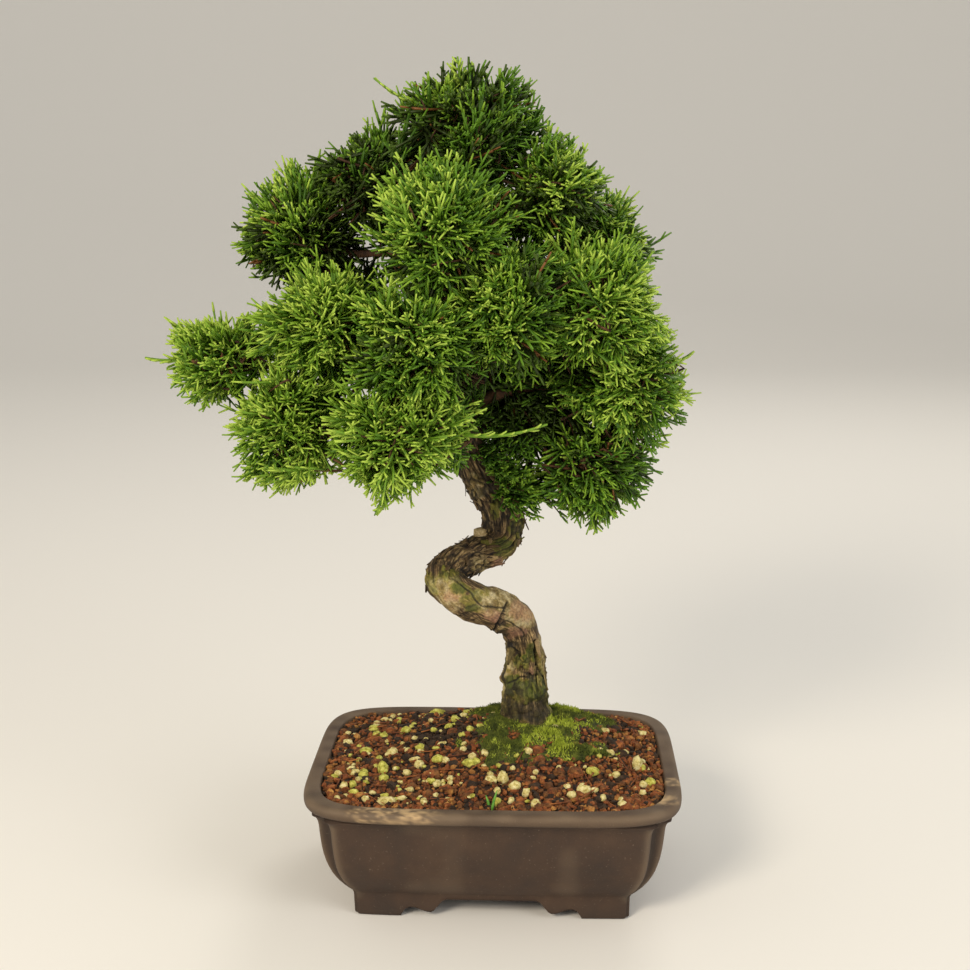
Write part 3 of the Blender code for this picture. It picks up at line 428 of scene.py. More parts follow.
def potProfile():
    # Rings from the middle of the inside floor, up, over the rim, down the wall and round the
    # foot to the middle of the underside. The rim's rounds are quarter circles.
    top, rings = potHigh[2], []

    def rimRing(inset, height):
        # A level ring of the squarish rim, drawn in by the inset
        outline = rimOutline(potHalf[0] - inset, potHalf[1] - inset)
        rings.append(np.column_stack([outline, np.full(len(outline), height)]))

    def wallRing(height, inset=0.0, lowest=None):
        # A ring of the panelled wall, level or lifted to the lower edge
        halfX, halfY, notch = wallHalf(height)
        outline = panelOutline(halfX - inset, halfY - inset, notch)
        level = np.full(len(outline), height)
        if lowest is not None:
            level = np.maximum(level, lowest(outline))
        rings.append(np.column_stack([outline, level]))

    floor, lip, footWall = pot["floorTop"], pot["rimTopWidth"], pot["footWall"]
    for inset, height in ((60.0, floor), (34.0, floor), (24.0, floor + 5.0), *pot["inside"],
                          (lip + 1.5, 57.0), (lip + 0.2, 59.5)):
        rimRing(inset, height)
    quarter = np.linspace(0.0, 0.5 * np.pi, 7)
    inner, outer = pot["rimInnerRound"], pot["rimRound"]
    for turn in quarter[1:]:
        rimRing(lip - inner * (1.0 - math.cos(turn)), top - inner * (1.0 - math.sin(turn)))
    for inset in pot["rimFlat"]:
        rimRing(inset, top)
    for turn in quarter:
        rimRing(outer * (1.0 - math.sin(turn)), top - outer * (1.0 - math.cos(turn)))
    for inset, drop in pot["rimUnder"]:
        rimRing(inset, top - drop)
    for inset, drop in pot["cove"]:
        wallRing(top - drop, inset)
    for height in np.concatenate([np.linspace(*levels) for levels in pot["wallLevels"]]):
        wallRing(height)
    for height in pot["footLevels"]:
        wallRing(height, 0.25 * (1.0 - height / pot["footTop"]), footEdge)
    for inset, height in (*pot["footUnder"], (footWall - 1.0, 0.0), (footWall, 0.8), (footWall + 0.3, 4.0)):
        wallRing(height, inset, footEdge)
    wallRing(pot["floorUnder"], footWall + 1.0)
    rings.append(rings[-1] * (0.5, 0.5, 1.0))
    return np.array(rings)


def clayMaterial():
    # Unglazed stoneware, pressed in a mould and fired: dull, faintly mottled, paler where it is
    # rubbed and with a painted highlight on the lobes beside each corner notch, crusted with ochre
    # lime where water dries on the rim, darker at the foot and in streaks, with painted shade in the notches
    clay, shader = newMaterial("unglazed pressed stoneware", 0.72)
    place = addNode(clay, "ShaderNodeTexCoord").outputs["Object"]
    clouds = addNode(clay, "ShaderNodeTexNoise", {"Vector": place, "Scale": perMetre(26.0), "Detail": 5.0,
                                                  "Roughness": 0.62})
    body = addNode(clay, "ShaderNodeValToRGB", {"Fac": clouds.outputs[0]},
                   stops=((0.28, "#31231a"), (0.52, "#3f2d20"), (0.76, "#4e3a2a")))
    specks = addNode(clay, "ShaderNodeTexNoise", {"Vector": place, "Scale": perMetre(1.1), "Detail": 2.0})
    grit = addNode(clay, "ShaderNodeValToRGB", {"Fac": specks.outputs[0]},
                   stops=((0.66, 0.0), (0.78, 0.40)))
    # Laid over the body one after the other: grit, rubbed edges and the lobes' painted highlight, lime, then
    # darkening at the foot, in streaks and as painted shade in the notches
    layers = [(grit.outputs[0], "#877563")]
    layers += [(addNode(clay, "ShaderNodeAttribute", attribute_name=mark).outputs["Fac"], tone)
               for mark, tone in (("wornAndLobeHighlight", "#75634f"), ("crust", "#c3a57a"), ("darkeningAndNotchShade", "#30261e"))]
    colour = body.outputs[0]
    for share, tone in layers:
        colour = addNode(clay, "ShaderNodeMix", {"Factor": share, 6: colour, 7: linear(tone)},
                         data_type="RGBA").outputs[2]
    dull = addNode(clay, "ShaderNodeMapRange", {"Value": clouds.outputs[0], 3: 0.62, 4: 0.84})
    bump = addNode(clay, "ShaderNodeBump", {"Strength": 0.35, "Distance": 0.0004,
                                            "Height": specks.outputs[0]})
    for socket, source in (("Base Color", colour), ("Roughness", dull.outputs[0]),
                           ("Normal", bump.outputs[0])):
        clay.node_tree.links.new(source, shader.inputs[socket])
    return clay


def makePot():
    # The profile's rings in one closed surface, pressed in by noise below the rim, with its wear, crust,
    # darkening and painted light and shade as marks on its points, then drilled for the drain holes
    rings = potProfile()
    count, around = rings.shape[:2]
    outward = unit(rings * (1.0, 1.0, 0.0))
    top = potHigh[2]
    soft = softNoise(rings, 23.0, 3) + 0.5 * softNoise(rings, 9.0, 4)
    below = np.clip((top - 2.0 - rings[..., 2]) / 10.0, 0.0, 1.0)
    rings = rings - outward * (pot["handWaves"] * (1.0 + soft) * below)[..., None]
    rimTop = np.clip((rings[..., 2] - (top - 3.5)) / 2.5, 0.0, 1.0)
    toEdge = np.linalg.norm(rings[..., :2] / potHalf[:2], ord=pot["rimPower"], axis=-1)
    edge = np.clip(1.0 - abs(toEdge - 1.0) / 0.035, 0.0, 1.0)
    onRim = rings[..., 2] > pot["wallTop"]
    wornAndLobeHighlight = 0.75 * rimTop * (0.55 + 0.45 * softNoise(rings, 7.0, 6)) + 0.35 * edge * onRim
    wornAndLobeHighlight += 0.5 * np.clip(softNoise(rings, 18.0, 8) - 0.35, 0.0, 1.0)
    crust = np.zeros(rings.shape[:2])
    patchy = 0.45 + 0.8 * softNoise(rings, 3.0, 9) + 0.9 * softNoise(rings * (0.45, 1.3, 1.0), 0.8, 10)
    for u, v, half in pot["crust"]:
        middle = underPixel(u, v, top)
        crust = np.maximum(crust, blob(rings, middle, np.array([half, 0.45 * half + 3.0, 6.0])))
    crust = np.clip(1.5 * crust * np.clip(patchy, 0.0, 1.0), 0.0, 0.9)
    streaks = np.clip(softNoise(rings * (1.0, 1.0, 0.25), 6.0, 12) - 0.25, 0.0, 1.0)
    # Darker towards the foot and in streaks down the wall; painted shade in the notches follows
    darkeningAndNotchShade = np.clip((9.0 - rings[..., 2]) / 16.0, 0.0, 0.35)
    darkeningAndNotchShade += 0.45 * streaks * (rings[..., 2] < pot["wallTop"])
    # Painted shade darkens the hollow of each corner notch, and a painted highlight lightens the lobes beside
    # it
    halfX, halfY, notch = wallHalf(rings[..., 2])
    across, along = abs(rings[..., 0]) - halfX, abs(rings[..., 1]) - halfY
    wall = np.clip((pot["wallTop"] - rings[..., 2]) / 3.0, 0.0, 1.0) * (rings[..., 2] > 9.0)
    darkeningAndNotchShade += 0.75 * wall * np.exp(-((np.hypot(across + notch, along + notch) / 2.6) ** 2))
    # Painted highlight on the lobes beside each notch, added to the rubbed wear of the rim
    lobe = np.minimum(np.hypot(across + 1.2 * notch, along + 0.1 * notch),
                      np.hypot(across + 0.1 * notch, along + 1.2 * notch))
    wornAndLobeHighlight += 0.55 * wall * np.exp(-((lobe / 2.2) ** 2))
    marks = {"wornAndLobeHighlight": np.clip(wornAndLobeHighlight, 0.0, 0.8).ravel(), "crust": crust.ravel(),
             "darkeningAndNotchShade": np.clip(darkeningAndNotchShade, 0.0, 0.75).ravel()}
    made = addPiece("potBody", rings.reshape(-1, 3), loftFaces(count, around), clayMaterial(), "clay",
                    marks=marks)
    radius, sides = pot["drainRadius"], pot["drainSides"]
    turns = 2.0 * np.pi * np.arange(sides) / sides
    for place in (-pot["drainPlace"], pot["drainPlace"]):
        hole = np.stack([place + radius * np.cos(turns), radius * np.sin(turns)], axis=1)
        both = np.concatenate([np.column_stack([hole, np.full(sides, z)]) for z in pot["drainRun"]])
        drill = bpy.data.meshes.new("drill")
        drill.from_pydata(((both + plantPlace) * 0.001).tolist(), [],
                          [face.tolist() for group in loftFaces(2, sides) for face in group])
        tool = bpy.data.objects.new("drill", drill)
        bpy.context.scene.collection.objects.link(tool)
        cut = made.modifiers.new("drain hole", "BOOLEAN")
        cut.operation, cut.object, cut.solver = "DIFFERENCE", tool, "EXACT"
        bpy.context.view_layer.objects.active = made
        with bpy.context.temp_override(object=made, active_object=made, selected_objects=[made]):
            bpy.ops.object.modifier_apply(modifier=cut.name)
        bpy.data.objects.remove(tool)
    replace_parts(made, "pot")


# Soil

soil = {
    "edge": 60.0, "mound": 11.5, "cushion": 2.0, "moundReach": 40.0, "flatRadius": 15.0,
    "power": 6.0, "edgeInset": 9.0,
    "trunkFoot": (15.3, 22.0),
    "crumbStep": 2.3, "crumbSize": 1.05, "crumbSpread": 0.34,      # mm, and how much they vary
    "looseCrumbs": 1900, "clods": 240, "clodSize": (1.9, 3.4),
    "pumiceGrains": 240, "pumiceSize": (0.8, 2.6),
    "deadShoots": 60, "rimCrumbs": 900,
    # photograph places of dark humus, with the radius in mm
    "humus": ((440, 742, 18.0), (362, 724, 10.0), (622, 724, 9.0), (455, 722, 10.0)),
    # photograph places of dead shoots
    "deadPlaces": ((521, 767), (557, 799), (396, 733), (452, 722), (489, 724)),
    # fresh green blades: photograph place of the foot, then how far the tip stands off in mm
    "blades": ((492, 800, 1.2, 2.0, 9.5), (489, 797, -0.8, 1.0, 5.5), (548, 738, -5.0, 5.0, 10.5)),
}
# Pumice grains that stand out in the photograph: pixel, width and height in mm
bigGrains = ((383, 770, 5.2, 7.5), (386, 803, 9.0, 4.5), (503, 776, 5.2, 7.5), (584, 792, 7.0, 5.2),
             (572, 797, 4.5, 4.0), (526, 795, 4.0, 4.5), (470, 758, 7.5, 4.2), (438, 758, 7.0, 4.5),
             (419, 766, 5.0, 5.5), (491, 778, 6.5, 4.5), (515, 786, 6.0, 4.6), (637, 767, 5.0, 9.0),
             (652, 785, 6.0, 5.0), (616, 776, 4.0, 4.0), (650, 735, 6.0, 3.6), (432, 711, 9.0, 5.0),
             (459, 709, 6.5, 3.6), (366, 752, 7.0, 4.0), (337, 744, 5.5, 5.0), (333, 776, 4.2, 4.0),
             (344, 788, 4.0, 5.0), (353, 786, 3.6, 4.6), (497, 793, 3.6, 4.2), (643, 786, 4.0, 4.0),
             (601, 749, 3.4, 3.2), (612, 727, 3.6, 3.4), (406, 731, 5.0, 3.8), (610, 753, 5.0, 4.6))


def edgeShare(x, y):
    # 0 in the middle of the pot, 1 at the soil's edge: (|x/a|^6 + |y/b|^6)^(1/6)
    power = soil["power"]
    share = abs(x / (potHalf[0] - soil["edgeInset"])) ** power
    share = share + abs(y / (potHalf[1] - soil["edgeInset"])) ** power
    return np.minimum(1.0, share ** (1.0 / power))


def soilHeight(x, y):
    # A low cushion, plus a mound exp(-(distance / reach)^2) round the trunk's flat foot
    edge = edgeShare(x, y)
    foot = soil["trunkFoot"]
    away = np.maximum(0.0, np.hypot(x - foot[0], y - foot[1]) - soil["flatRadius"])
    mound = soil["mound"] * np.exp(-((away / soil["moundReach"]) ** 2)) * (1.0 - edge ** soil["power"])
    cushion = soil["cushion"] * (1.0 - np.maximum(edge, edgeShare(*np.array(foot))) ** 2)
    return soil["edge"] + mound + cushion


def ballShape(subdivisions):
    # Corners and faces of a ball of twenty faces, each split in four per subdivision
    ball = bmesh.new()
    bmesh.ops.create_icosphere(ball, subdivisions=subdivisions, radius=1.0)
    corners = np.array([vert.co for vert in ball.verts])
    faces = np.array([[vert.index for vert in face.verts] for face in ball.faces])
    ball.free()
    return corners, faces


def scatterBalls(middles, sizes, uneven, subdivisions, rng, spin=True):
    # Many lumpy grains: a turned ball, each corner pushed in or out, stretched on three axes,
    # then turned about the upright
    corners, faces = ballShape(subdivisions)
    count = len(middles)
    push = 1.0 + uneven * rng.uniform(-1.0, 1.0, (count, len(corners), 1))
    shape = np.einsum("nij,vj->nvi", randomTurns(count, rng), corners) * push * sizes[:, None, :]
    turn = rng.uniform(0.0, 2.0 * np.pi, (count, 1)) * spin
    x = np.cos(turn) * shape[..., 0] - np.sin(turn) * shape[..., 1]
    y = np.sin(turn) * shape[..., 0] + np.cos(turn) * shape[..., 1]
    points = (middles[:, None] + np.stack([x, y, shape[..., 2]], axis=-1)).reshape(-1, 3)
    index = faces[None] + len(corners) * np.arange(count)[:, None, None]
    return points, [index.reshape(-1, 3)]


def randomTurns(count, rng):
    # Turns from random unit quaternions (w, x, y, z)
    w, x, y, z = unit(rng.normal(size=(count, 4))).T
    return np.stack([1 - 2 * (y * y + z * z), 2 * (x * y - z * w), 2 * (x * z + y * w),
                     2 * (x * y + z * w), 1 - 2 * (x * x + z * z), 2 * (y * z - x * w),
                     2 * (x * z - y * w), 2 * (y * z + x * w), 1 - 2 * (x * x + y * y)],
                    axis=1).reshape(count, 3, 3)


def grainMaterial(name, low, middle, high, size, roughness=0.92, bumpDepth=0.3):
    # Loose mineral or baked-clay grains: three close tones in blotches, dull and pitted
    grain, shader = newMaterial(name, roughness)
    place = addNode(grain, "ShaderNodeTexCoord").outputs["Object"]
    blotches = addNode(grain, "ShaderNodeTexNoise", {"Vector": place, "Scale": perMetre(size), "Detail": 3.0,
                                                     "Roughness": 0.7})
    tones = addNode(grain, "ShaderNodeValToRGB", {"Fac": blotches.outputs[0]},
                    stops=((0.32, low), (0.5, middle), (0.68, high)))
    pits = addNode(grain, "ShaderNodeTexNoise", {"Vector": place, "Scale": perMetre(0.7), "Detail": 2.0})
    bump = addNode(grain, "ShaderNodeBump", {"Strength": bumpDepth, "Distance": 0.0004,
                                             "Height": pits.outputs[0]})
    grain.node_tree.links.new(tones.outputs[0], shader.inputs["Base Color"])
    grain.node_tree.links.new(bump.outputs[0], shader.inputs["Normal"])
    return grain


def makeSoil():
    # Crumbs on an uneven grid, at the wall and loose, then clods and pumice, all on soilHeight
    rng = np.random.default_rng(21)
    half = potHalf[:2] - soil["edgeInset"]
    # Bed under the crumbs: rings from the soil's edge to its middle, roughened by noise
    around, rings = 144, 44
    bearing = 2.0 * np.pi * np.arange(around) / around
    power = pot["rimPower"]
    reach = (abs(np.cos(bearing) / (half[0] + 1.3)) ** power
             + abs(np.sin(bearing) / (half[1] + 1.3)) ** power) ** (-1.0 / power)
    share = np.linspace(1.0, 0.01, rings)[:, None]
    x, y = reach * np.cos(bearing) * share, reach * np.sin(bearing) * share
    z = soilHeight(x, y) - 1.3
    bed = np.stack([x, y, z], axis=-1)
    bed[..., 2] += 0.8 * softNoise(bed, 3.0, 31) + 0.4 * softNoise(bed, 1.4, 32)
    skirt = bed[:1] * (0.97, 0.97, 0.0) + (0.0, 0.0, 40.0)
    base = skirt * (0.8, 0.8, 0.0) + (0.0, 0.0, 17.0)
    bed = np.concatenate([base, skirt, bed])
    earth = grainMaterial("damp baked-clay dust", "#20150e", "#38251a", "#4f3524", 4.0)
    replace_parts(addPiece("soilBed", bed.reshape(-1, 3), loftFaces(len(bed), around), earth, "soil"), "soil")

    step = soil["crumbStep"]
    columns, lines = np.meshgrid(*[np.arange(-reach, reach, step) for reach in half])
    x = (columns + rng.uniform(-0.5, 0.5, columns.shape) * step).ravel()
    y = (lines + rng.uniform(-0.5, 0.5, lines.shape) * step).ravel()
    extra = rng.uniform(-1.0, 1.0, (soil["looseCrumbs"], 2)) * half
    turn = rng.uniform(0.0, 2.0 * np.pi, soil["rimCrumbs"])
    wall = np.column_stack([np.cos(turn), np.sin(turn)])
    wall *= (abs(wall / half) ** soil["power"]).sum(axis=1, keepdims=True) ** (-1.0 / soil["power"])
    wall *= rng.uniform(0.95, 1.004, (len(wall), 1))
    x, y = np.concatenate([x, wall[:, 0], extra[:, 0]]), np.concatenate([y, wall[:, 1], extra[:, 1]])
    foot = soil["trunkFoot"]
    kept = (np.hypot(x - foot[0], y - foot[1]) > 12.5) & (abs(x) < half[0] + 0.4) & (abs(y) < half[1] + 0.4)
    order = np.arange(len(x))
    atWall = (order >= columns.size) & (order < columns.size + len(wall))
    kept &= (edgeShare(x, y) < 0.985) | atWall
    x, y = x[kept], y[kept]
    size = np.clip(soil["crumbSize"] * np.exp(rng.normal(0.0, soil["crumbSpread"], len(x))), 0.55, 2.3)
    loose = np.arange(len(x)) >= len(x) - kept[-soil["looseCrumbs"]:].sum()
    spots = np.column_stack([x, y, soilHeight(x, y) - 1.0 + rng.uniform(-0.6, 0.5, len(x)) + 0.9 * loose])
    spots[:, 2] += 0.5 * softNoise(spots * (1.0, 1.0, 0.0), 9.0, 34)
    spots[:, 2] += 1.1 * np.clip((edgeShare(x, y) - 0.86) / 0.14, 0.0, 1.0)
    sizes = size[:, None] * rng.uniform(0.65, 1.3, (len(x), 3)) * (1.0, 1.0, 0.85)
    # Darker and wetter at the back left, redder in front, with a few ochre crumbs throughout
    dark = 0.12 + 0.36 * blob(spots, (-34.0, 34.0, 62.0), 60.0) + 0.22 * softNoise(spots, 14.0, 33)
    dark += 0.95 * placed(spots * (1.0, 1.0, 0.0), [(underPixel(u, v, 64.0) * (1.0, 1.0, 0.0), size)
                                                    for u, v, size in soil["humus"]])
    pick, other = rng.random(len(x)), rng.random(len(x))
    kinds = {
        "crumbsDark": (pick < dark, ("dark humus crumbs", "#1b120a", "#302113", "#4a341f")),
        "crumbsOchre": ((pick >= dark) & (other < 0.13),
                        ("ochre baked clay crumbs", "#7b4f22", "#a06c33", "#c0914e")),
        "crumbsBrown": ((pick >= dark) & (other >= 0.13) & (other < 0.50),
                        ("brown baked clay crumbs", "#432811", "#653d1c", "#86592c")),
        "crumbsRed": ((pick >= dark) & (other >= 0.50),
                      ("red baked clay crumbs", "#5c2e14", "#804620", "#a76937")),
    }
    spread = rng.uniform(-1.0, 1.0, (2 * soil["clods"], 2)) * half
    spread = spread[(edgeShare(*spread.T) < 0.95) & (np.hypot(*(spread - foot).T) > 16.0)][:soil["clods"]]
    radii = rng.uniform(*soil["clodSize"], len(spread))
    clods = np.column_stack([spread, soilHeight(*spread.T) - 1.2])
    clodSizes = radii[:, None] * rng.uniform(0.7, 1.2, (len(spread), 3)) * (1.0, 1.0, 0.8)
    for number, (name, (chosen, tones)) in enumerate(kinds.items()):
        shapes = [scatterBalls(spots[chosen], sizes[chosen], 0.30, 1, rng)]
        if name != "crumbsOchre":              # no clod is ochre
            shapes.append(scatterBalls(clods[number // 2::3], clodSizes[number // 2::3], 0.24, 2, rng))
        addPiece(name, *joinShapes(shapes), grainMaterial(*tones, 3.0), "soil", smooth=False)

    # Pumice: pale porous grains, greened a little by algae
    spread = rng.uniform(-1.0, 1.0, (3 * soil["pumiceGrains"], 2)) * half
    thin = rng.random(len(spread)) < 0.35 + 0.65 * np.clip((foot[0] - spread[:, 0]) / 40.0, 0.0, 1.0)
    spread = spread[thin & (edgeShare(*spread.T) < 0.96) & (np.hypot(*(spread - foot).T) > 15.0)]
    spread = spread[:soil["pumiceGrains"]]
    radii = rng.uniform(*soil["pumiceSize"], len(spread)) * rng.choice([0.55, 0.75, 1.0], len(spread))
    small = np.column_stack([spread, soilHeight(*spread.T) + 0.1 * radii])
    smallSizes = radii[:, None] * rng.uniform(0.75, 1.25, (len(radii), 3)) * (1.25, 0.95, 0.8)
    named = []
    for u, v, wide, tall in bigGrains:
        spot = underPixel(u, v, soilHeight(*underPixel(u, v, soil["edge"] + 3.0)[:2]))
        reach = (abs(spot[:2] / half) ** soil["power"]).sum() ** (1.0 / soil["power"])
        spot = spot * min(1.0, 0.93 / reach)
        named.append((*spot[:2], soilHeight(*spot[:2]) + 0.12 * tall,
                      0.5 * wide, 0.42 * (wide + tall) * 0.5, 0.5 * tall))
    named = np.array(named)
    smallTint, bigTint = rng.random(len(small)) < 0.35, rng.random(len(named)) < 0.35
    for name, some, big, tones in (
            ("pumicePale", ~smallTint, ~bigTint, ("porous cream pumice", "#9c8b45", "#d3c580", "#f0e6b4")),
            ("pumiceGreened", smallTint, bigTint,
             ("pumice greened by algae", "#827f2c", "#b8b54c", "#dedb7c"))):
        shapes = [scatterBalls(small[some], smallSizes[some], 0.20, 2, rng),
                  scatterBalls(named[big, :3], named[big, 3:], 0.17, 2, rng, spin=False)]
        addPiece(name, *joinShapes(shapes), grainMaterial(*tones, 1.8, 0.88, 0.55), "soil")
    makeLitter(rng, half)


def makeLitter(rng, half):
    # Dead shoots that lie on the soil: bowed lines, middle + length t + bow t^2, brown to rust
    count = soil["deadShoots"]
    middle = rng.uniform(-0.92, 0.92, (count, 2)) * half
    middle = middle[np.hypot(*(middle - soil["trunkFoot"]).T) > 18.0]
    named = [underPixel(u, v, 64.0)[:2] for u, v in soil["deadPlaces"]]
    middle = np.concatenate([middle, named])
    count = len(middle)
    bearing = rng.uniform(0.0, 2.0 * np.pi, count)
    length = rng.uniform(6.0, 15.0, count)
    share = np.linspace(-0.5, 0.5, 6)
    way = np.column_stack([np.cos(bearing), np.sin(bearing)])
    aside = np.column_stack([-np.sin(bearing), np.cos(bearing)]) * rng.uniform(-2.5, 2.5, (count, 1))
    flat = (middle[:, None] + way[:, None] * (length[:, None] * share)[..., None]
            + aside[:, None] * (share ** 2)[:, None])
    edge = edgeShare(flat[..., 0], flat[..., 1]).max(axis=1) < 0.97
    flat, count = flat[edge], int(edge.sum())
    tilt = rng.uniform(-1.6, 1.6, (count, 1)) * share
    lines = np.dstack([flat, soilHeight(flat[..., 0], flat[..., 1]) + 1.0 + abs(tilt)])
    radii = rng.uniform(0.25, 0.5, (count, 1)) * np.array([0.7, 1.0, 1.0, 0.9, 0.7, 0.35])
    rusty = grainMaterial("dead dry juniper shoots", "#3c2114", "#7a4422", "#b06f38", 6.0)
    addPiece("deadShoots", *tubes(lines, radii, 5), rusty, "soil")
    # Fresh green blades that stand out of the soil and lean further over towards their tips
    stand = np.array(soil["blades"])
    roots = np.array([underPixel(u, v, 65.0) for u, v in stand[:, :2]])
    roots[:, 2] = soilHeight(roots[:, 0], roots[:, 1]) - 0.5
    share = np.linspace(0.0, 1.0, 6)
    lean = stand[:, 2:]
    lines = roots[:, None] + lean[:, None] * share[:, None]
    lines[..., 0] += lean[:, None, 0] * share ** 2
    radii = np.array([[0.55, 0.7, 0.65, 0.55, 0.4, 0.12]] * len(stand))
    blade = grainMaterial("fresh grass blade", "#3f7a24", "#5c9a34", "#86bb4e", 5.0, 0.5, 0.05)
    addPiece("seedlings", *tubes(lines, radii, 4), blade, "moss")


# Moss

moss = {
    "reach": {"front": 52.0, "back": 22.0}, "facing": math.radians(-62.0),
    "waves": ((3.0, 1.0, 0.10), (7.0, 0.0, 0.06), (13.0, 2.0, 0.05)),
    "thick": 2.2, "sunk": 2.2, "tufts": 10500, "tuftLength": (0.8, 1.9), "tuftRadius": 0.27,
    # photograph places where the moss is fresh, with the radius in mm
    "fresh": ((566, 720, 14.0), (551, 757, 15.0), (540, 772, 9.0), (580, 738, 9.0), (558, 738, 9.0)),
}


def mossReach(bearing):
    # Between the back and front reach by the cosine of the bearing, in uneven waves
    facing = 0.5 + 0.5 * np.cos(bearing - moss["facing"])
    reach = moss["reach"]["back"] + (moss["reach"]["front"] - moss["reach"]["back"]) * facing
    return reach * (1.0 + sum(size * np.sin(count * bearing + start) for count, start, size in moss["waves"]))


def mossCover(x, y):
    # How thick the moss grows: full near the trunk, in patches further out
    foot = soil["trunkFoot"]
    bearing, away = np.arctan2(y - foot[1], x - foot[0]), np.hypot(x - foot[0], y - foot[1])
    share = away / mossReach(bearing)
    flat = np.stack([x, y, np.zeros_like(x)], axis=-1)
    patches = softNoise(flat, 11.0, 41) + 0.5 * softNoise(flat, 4.5, 42)
    return np.clip(1.20 - 1.15 * share + 0.85 * patches, 0.0, 1.0) * (share < 1.05)


def mossTop(x, y, cover):
    # Below the soil where nothing grows, and up out of it by cover^0.6
    return soilHeight(x, y) - moss["sunk"] + cover ** 0.6 * (moss["thick"] + 2.4)


def makeMoss():
    # A cushion between two sheets round the trunk's foot, then its fuzz
    rng = np.random.default_rng(41)
    around, rings = 128, 46
    foot = np.array(soil["trunkFoot"])
    bearing = 2.0 * np.pi * np.arange(around) / around
    share = np.linspace(1.0, 0.0, rings)[:, None]
    away = 9.0 + (mossReach(bearing) - 9.0) * share
    x, y = foot[0] + away * np.cos(bearing), foot[1] + away * np.sin(bearing)
    cover = mossCover(x, y)
    ground = soilHeight(x, y)
    lumps = softNoise(np.stack([x, y, ground], axis=-1), 2.2, 43)
    top = mossTop(x, y, cover) + 0.45 * lumps * cover
    sheet = np.concatenate([np.stack([x, y, top], axis=-1), np.stack([x, y, ground - 3.4], axis=-1)[::-1]])
    felt = grainMaterial("moss felt", "#2a300c", "#454d16", "#656b22", 3.0, 0.95, 0.6)
    index = np.arange(len(sheet) * around).reshape(-1, around)
    after, above = np.roll(index, -1, axis=1), np.roll(index, -1, axis=0)
    quads = np.stack([index, after, np.roll(above, -1, axis=1), above], axis=-1).reshape(-1, 4)
    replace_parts(addPiece("mossCushion", sheet.reshape(-1, 3), [quads], felt, "moss"), "moss")

    # Fuzz: tiny cones, each a three-sided root and a point, leaning at random
    spread = foot + rng.uniform(-1.0, 1.0, (6 * moss["tufts"], 2)) * 60.0
    cover = mossCover(*spread.T)
    kept = (rng.random(len(spread)) < cover ** 1.3) & (np.hypot(*(spread - foot).T) > 10.0)
    kept &= edgeShare(*spread.T) < 0.97
    spread, cover = spread[kept][:moss["tufts"]], cover[kept][:moss["tufts"]]
    root = np.column_stack([spread, mossTop(*spread.T, cover) - 0.3])
    lean = unit(np.column_stack([rng.normal(0.0, 0.55, (len(root), 2)), np.ones(len(root))]))
    length = rng.uniform(*moss["tuftLength"], len(root)) * (0.5 + 0.6 * cover)
    radii = np.column_stack([np.full(len(root), moss["tuftRadius"]), np.full(len(root), 0.05)])
    fresh = placed(root * (1.0, 1.0, 0.0), [(underPixel(u, v, 66.0) * (1.0, 1.0, 0.0), size)
                                            for u, v, size in moss["fresh"]])
    clumps = np.clip(softNoise(root, 3.4, 40) + 0.2, 0.0, 1.0)
    root[:, 2] += clumps * (0.6 + 0.7 * fresh)
    tip = root + lean * (length * (1.0 + 0.35 * fresh))[:, None]
    lines = np.stack([root, tip], axis=1)
    light = 1.1 * fresh + 0.45 * softNoise(root, 5.0, 44) + 0.25 * clumps
    bright = light + rng.normal(0.0, 0.14, len(root)) > 0.30
    for name, chosen, tones in (
            ("mossFuzzDark", ~bright, ("deep moss shoots", "#323c10", "#525d1b", "#757d2c")),
            ("mossFuzzBright", bright, ("fresh moss shoots", "#74841e", "#9dab32", "#c8d45a"))):
        addPiece(name, *tubes(lines[chosen], radii[chosen], 3), grainMaterial(*tones, 5.0), "moss",
                 smooth=False)


# Limbs

# Trunk: centre line, each point with the trunk's radius there, as in the source
trunkLine = [
    (15.3, 22.0, 73.8, 12.0), (15.0, 21.6, 79.0, 10.7), (14.4, 21.0, 86.0, 11.0),
    (14.2, 19.5, 97.0, 10.5), (14.1, 17.0, 108.0, 9.8), (13.7, 12.0, 119.5, 8.7),
    (9.7, 5.0, 131.5, 9.0), (1.6, -3.0, 138.5, 9.3), (-8.7, -10.5, 144.4, 9.3),
    (-18.4, -13.5, 150.6, 9.5), (-23.2, -8.0, 155.6, 9.4), (-19.5, 2.5, 159.8, 9.0),
    (-10.6, 11.0, 161.8, 8.9), (-1.9, 14.5, 165.6, 9.2), (3.0, 14.0, 172.5, 9.5),
    (3.2, 12.0, 181.5, 10.2), (0.2, 10.0, 191.2, 10.0), (-5.5, 8.0, 201.0, 9.5),
    (-11.2, 6.0, 211.5, 8.9), (-14.5, 4.0, 228.0, 7.9), (-11.5, 5.0, 248.0, 7.0),
    (-5.0, 6.0, 268.0, 6.3), (-6.0, 4.0, 290.0, 5.5), (-13.0, 2.0, 312.0, 4.4),
    (-17.0, 0.5, 332.0, 3.4), (-15.5, 0.0, 350.0, 2.4),
]
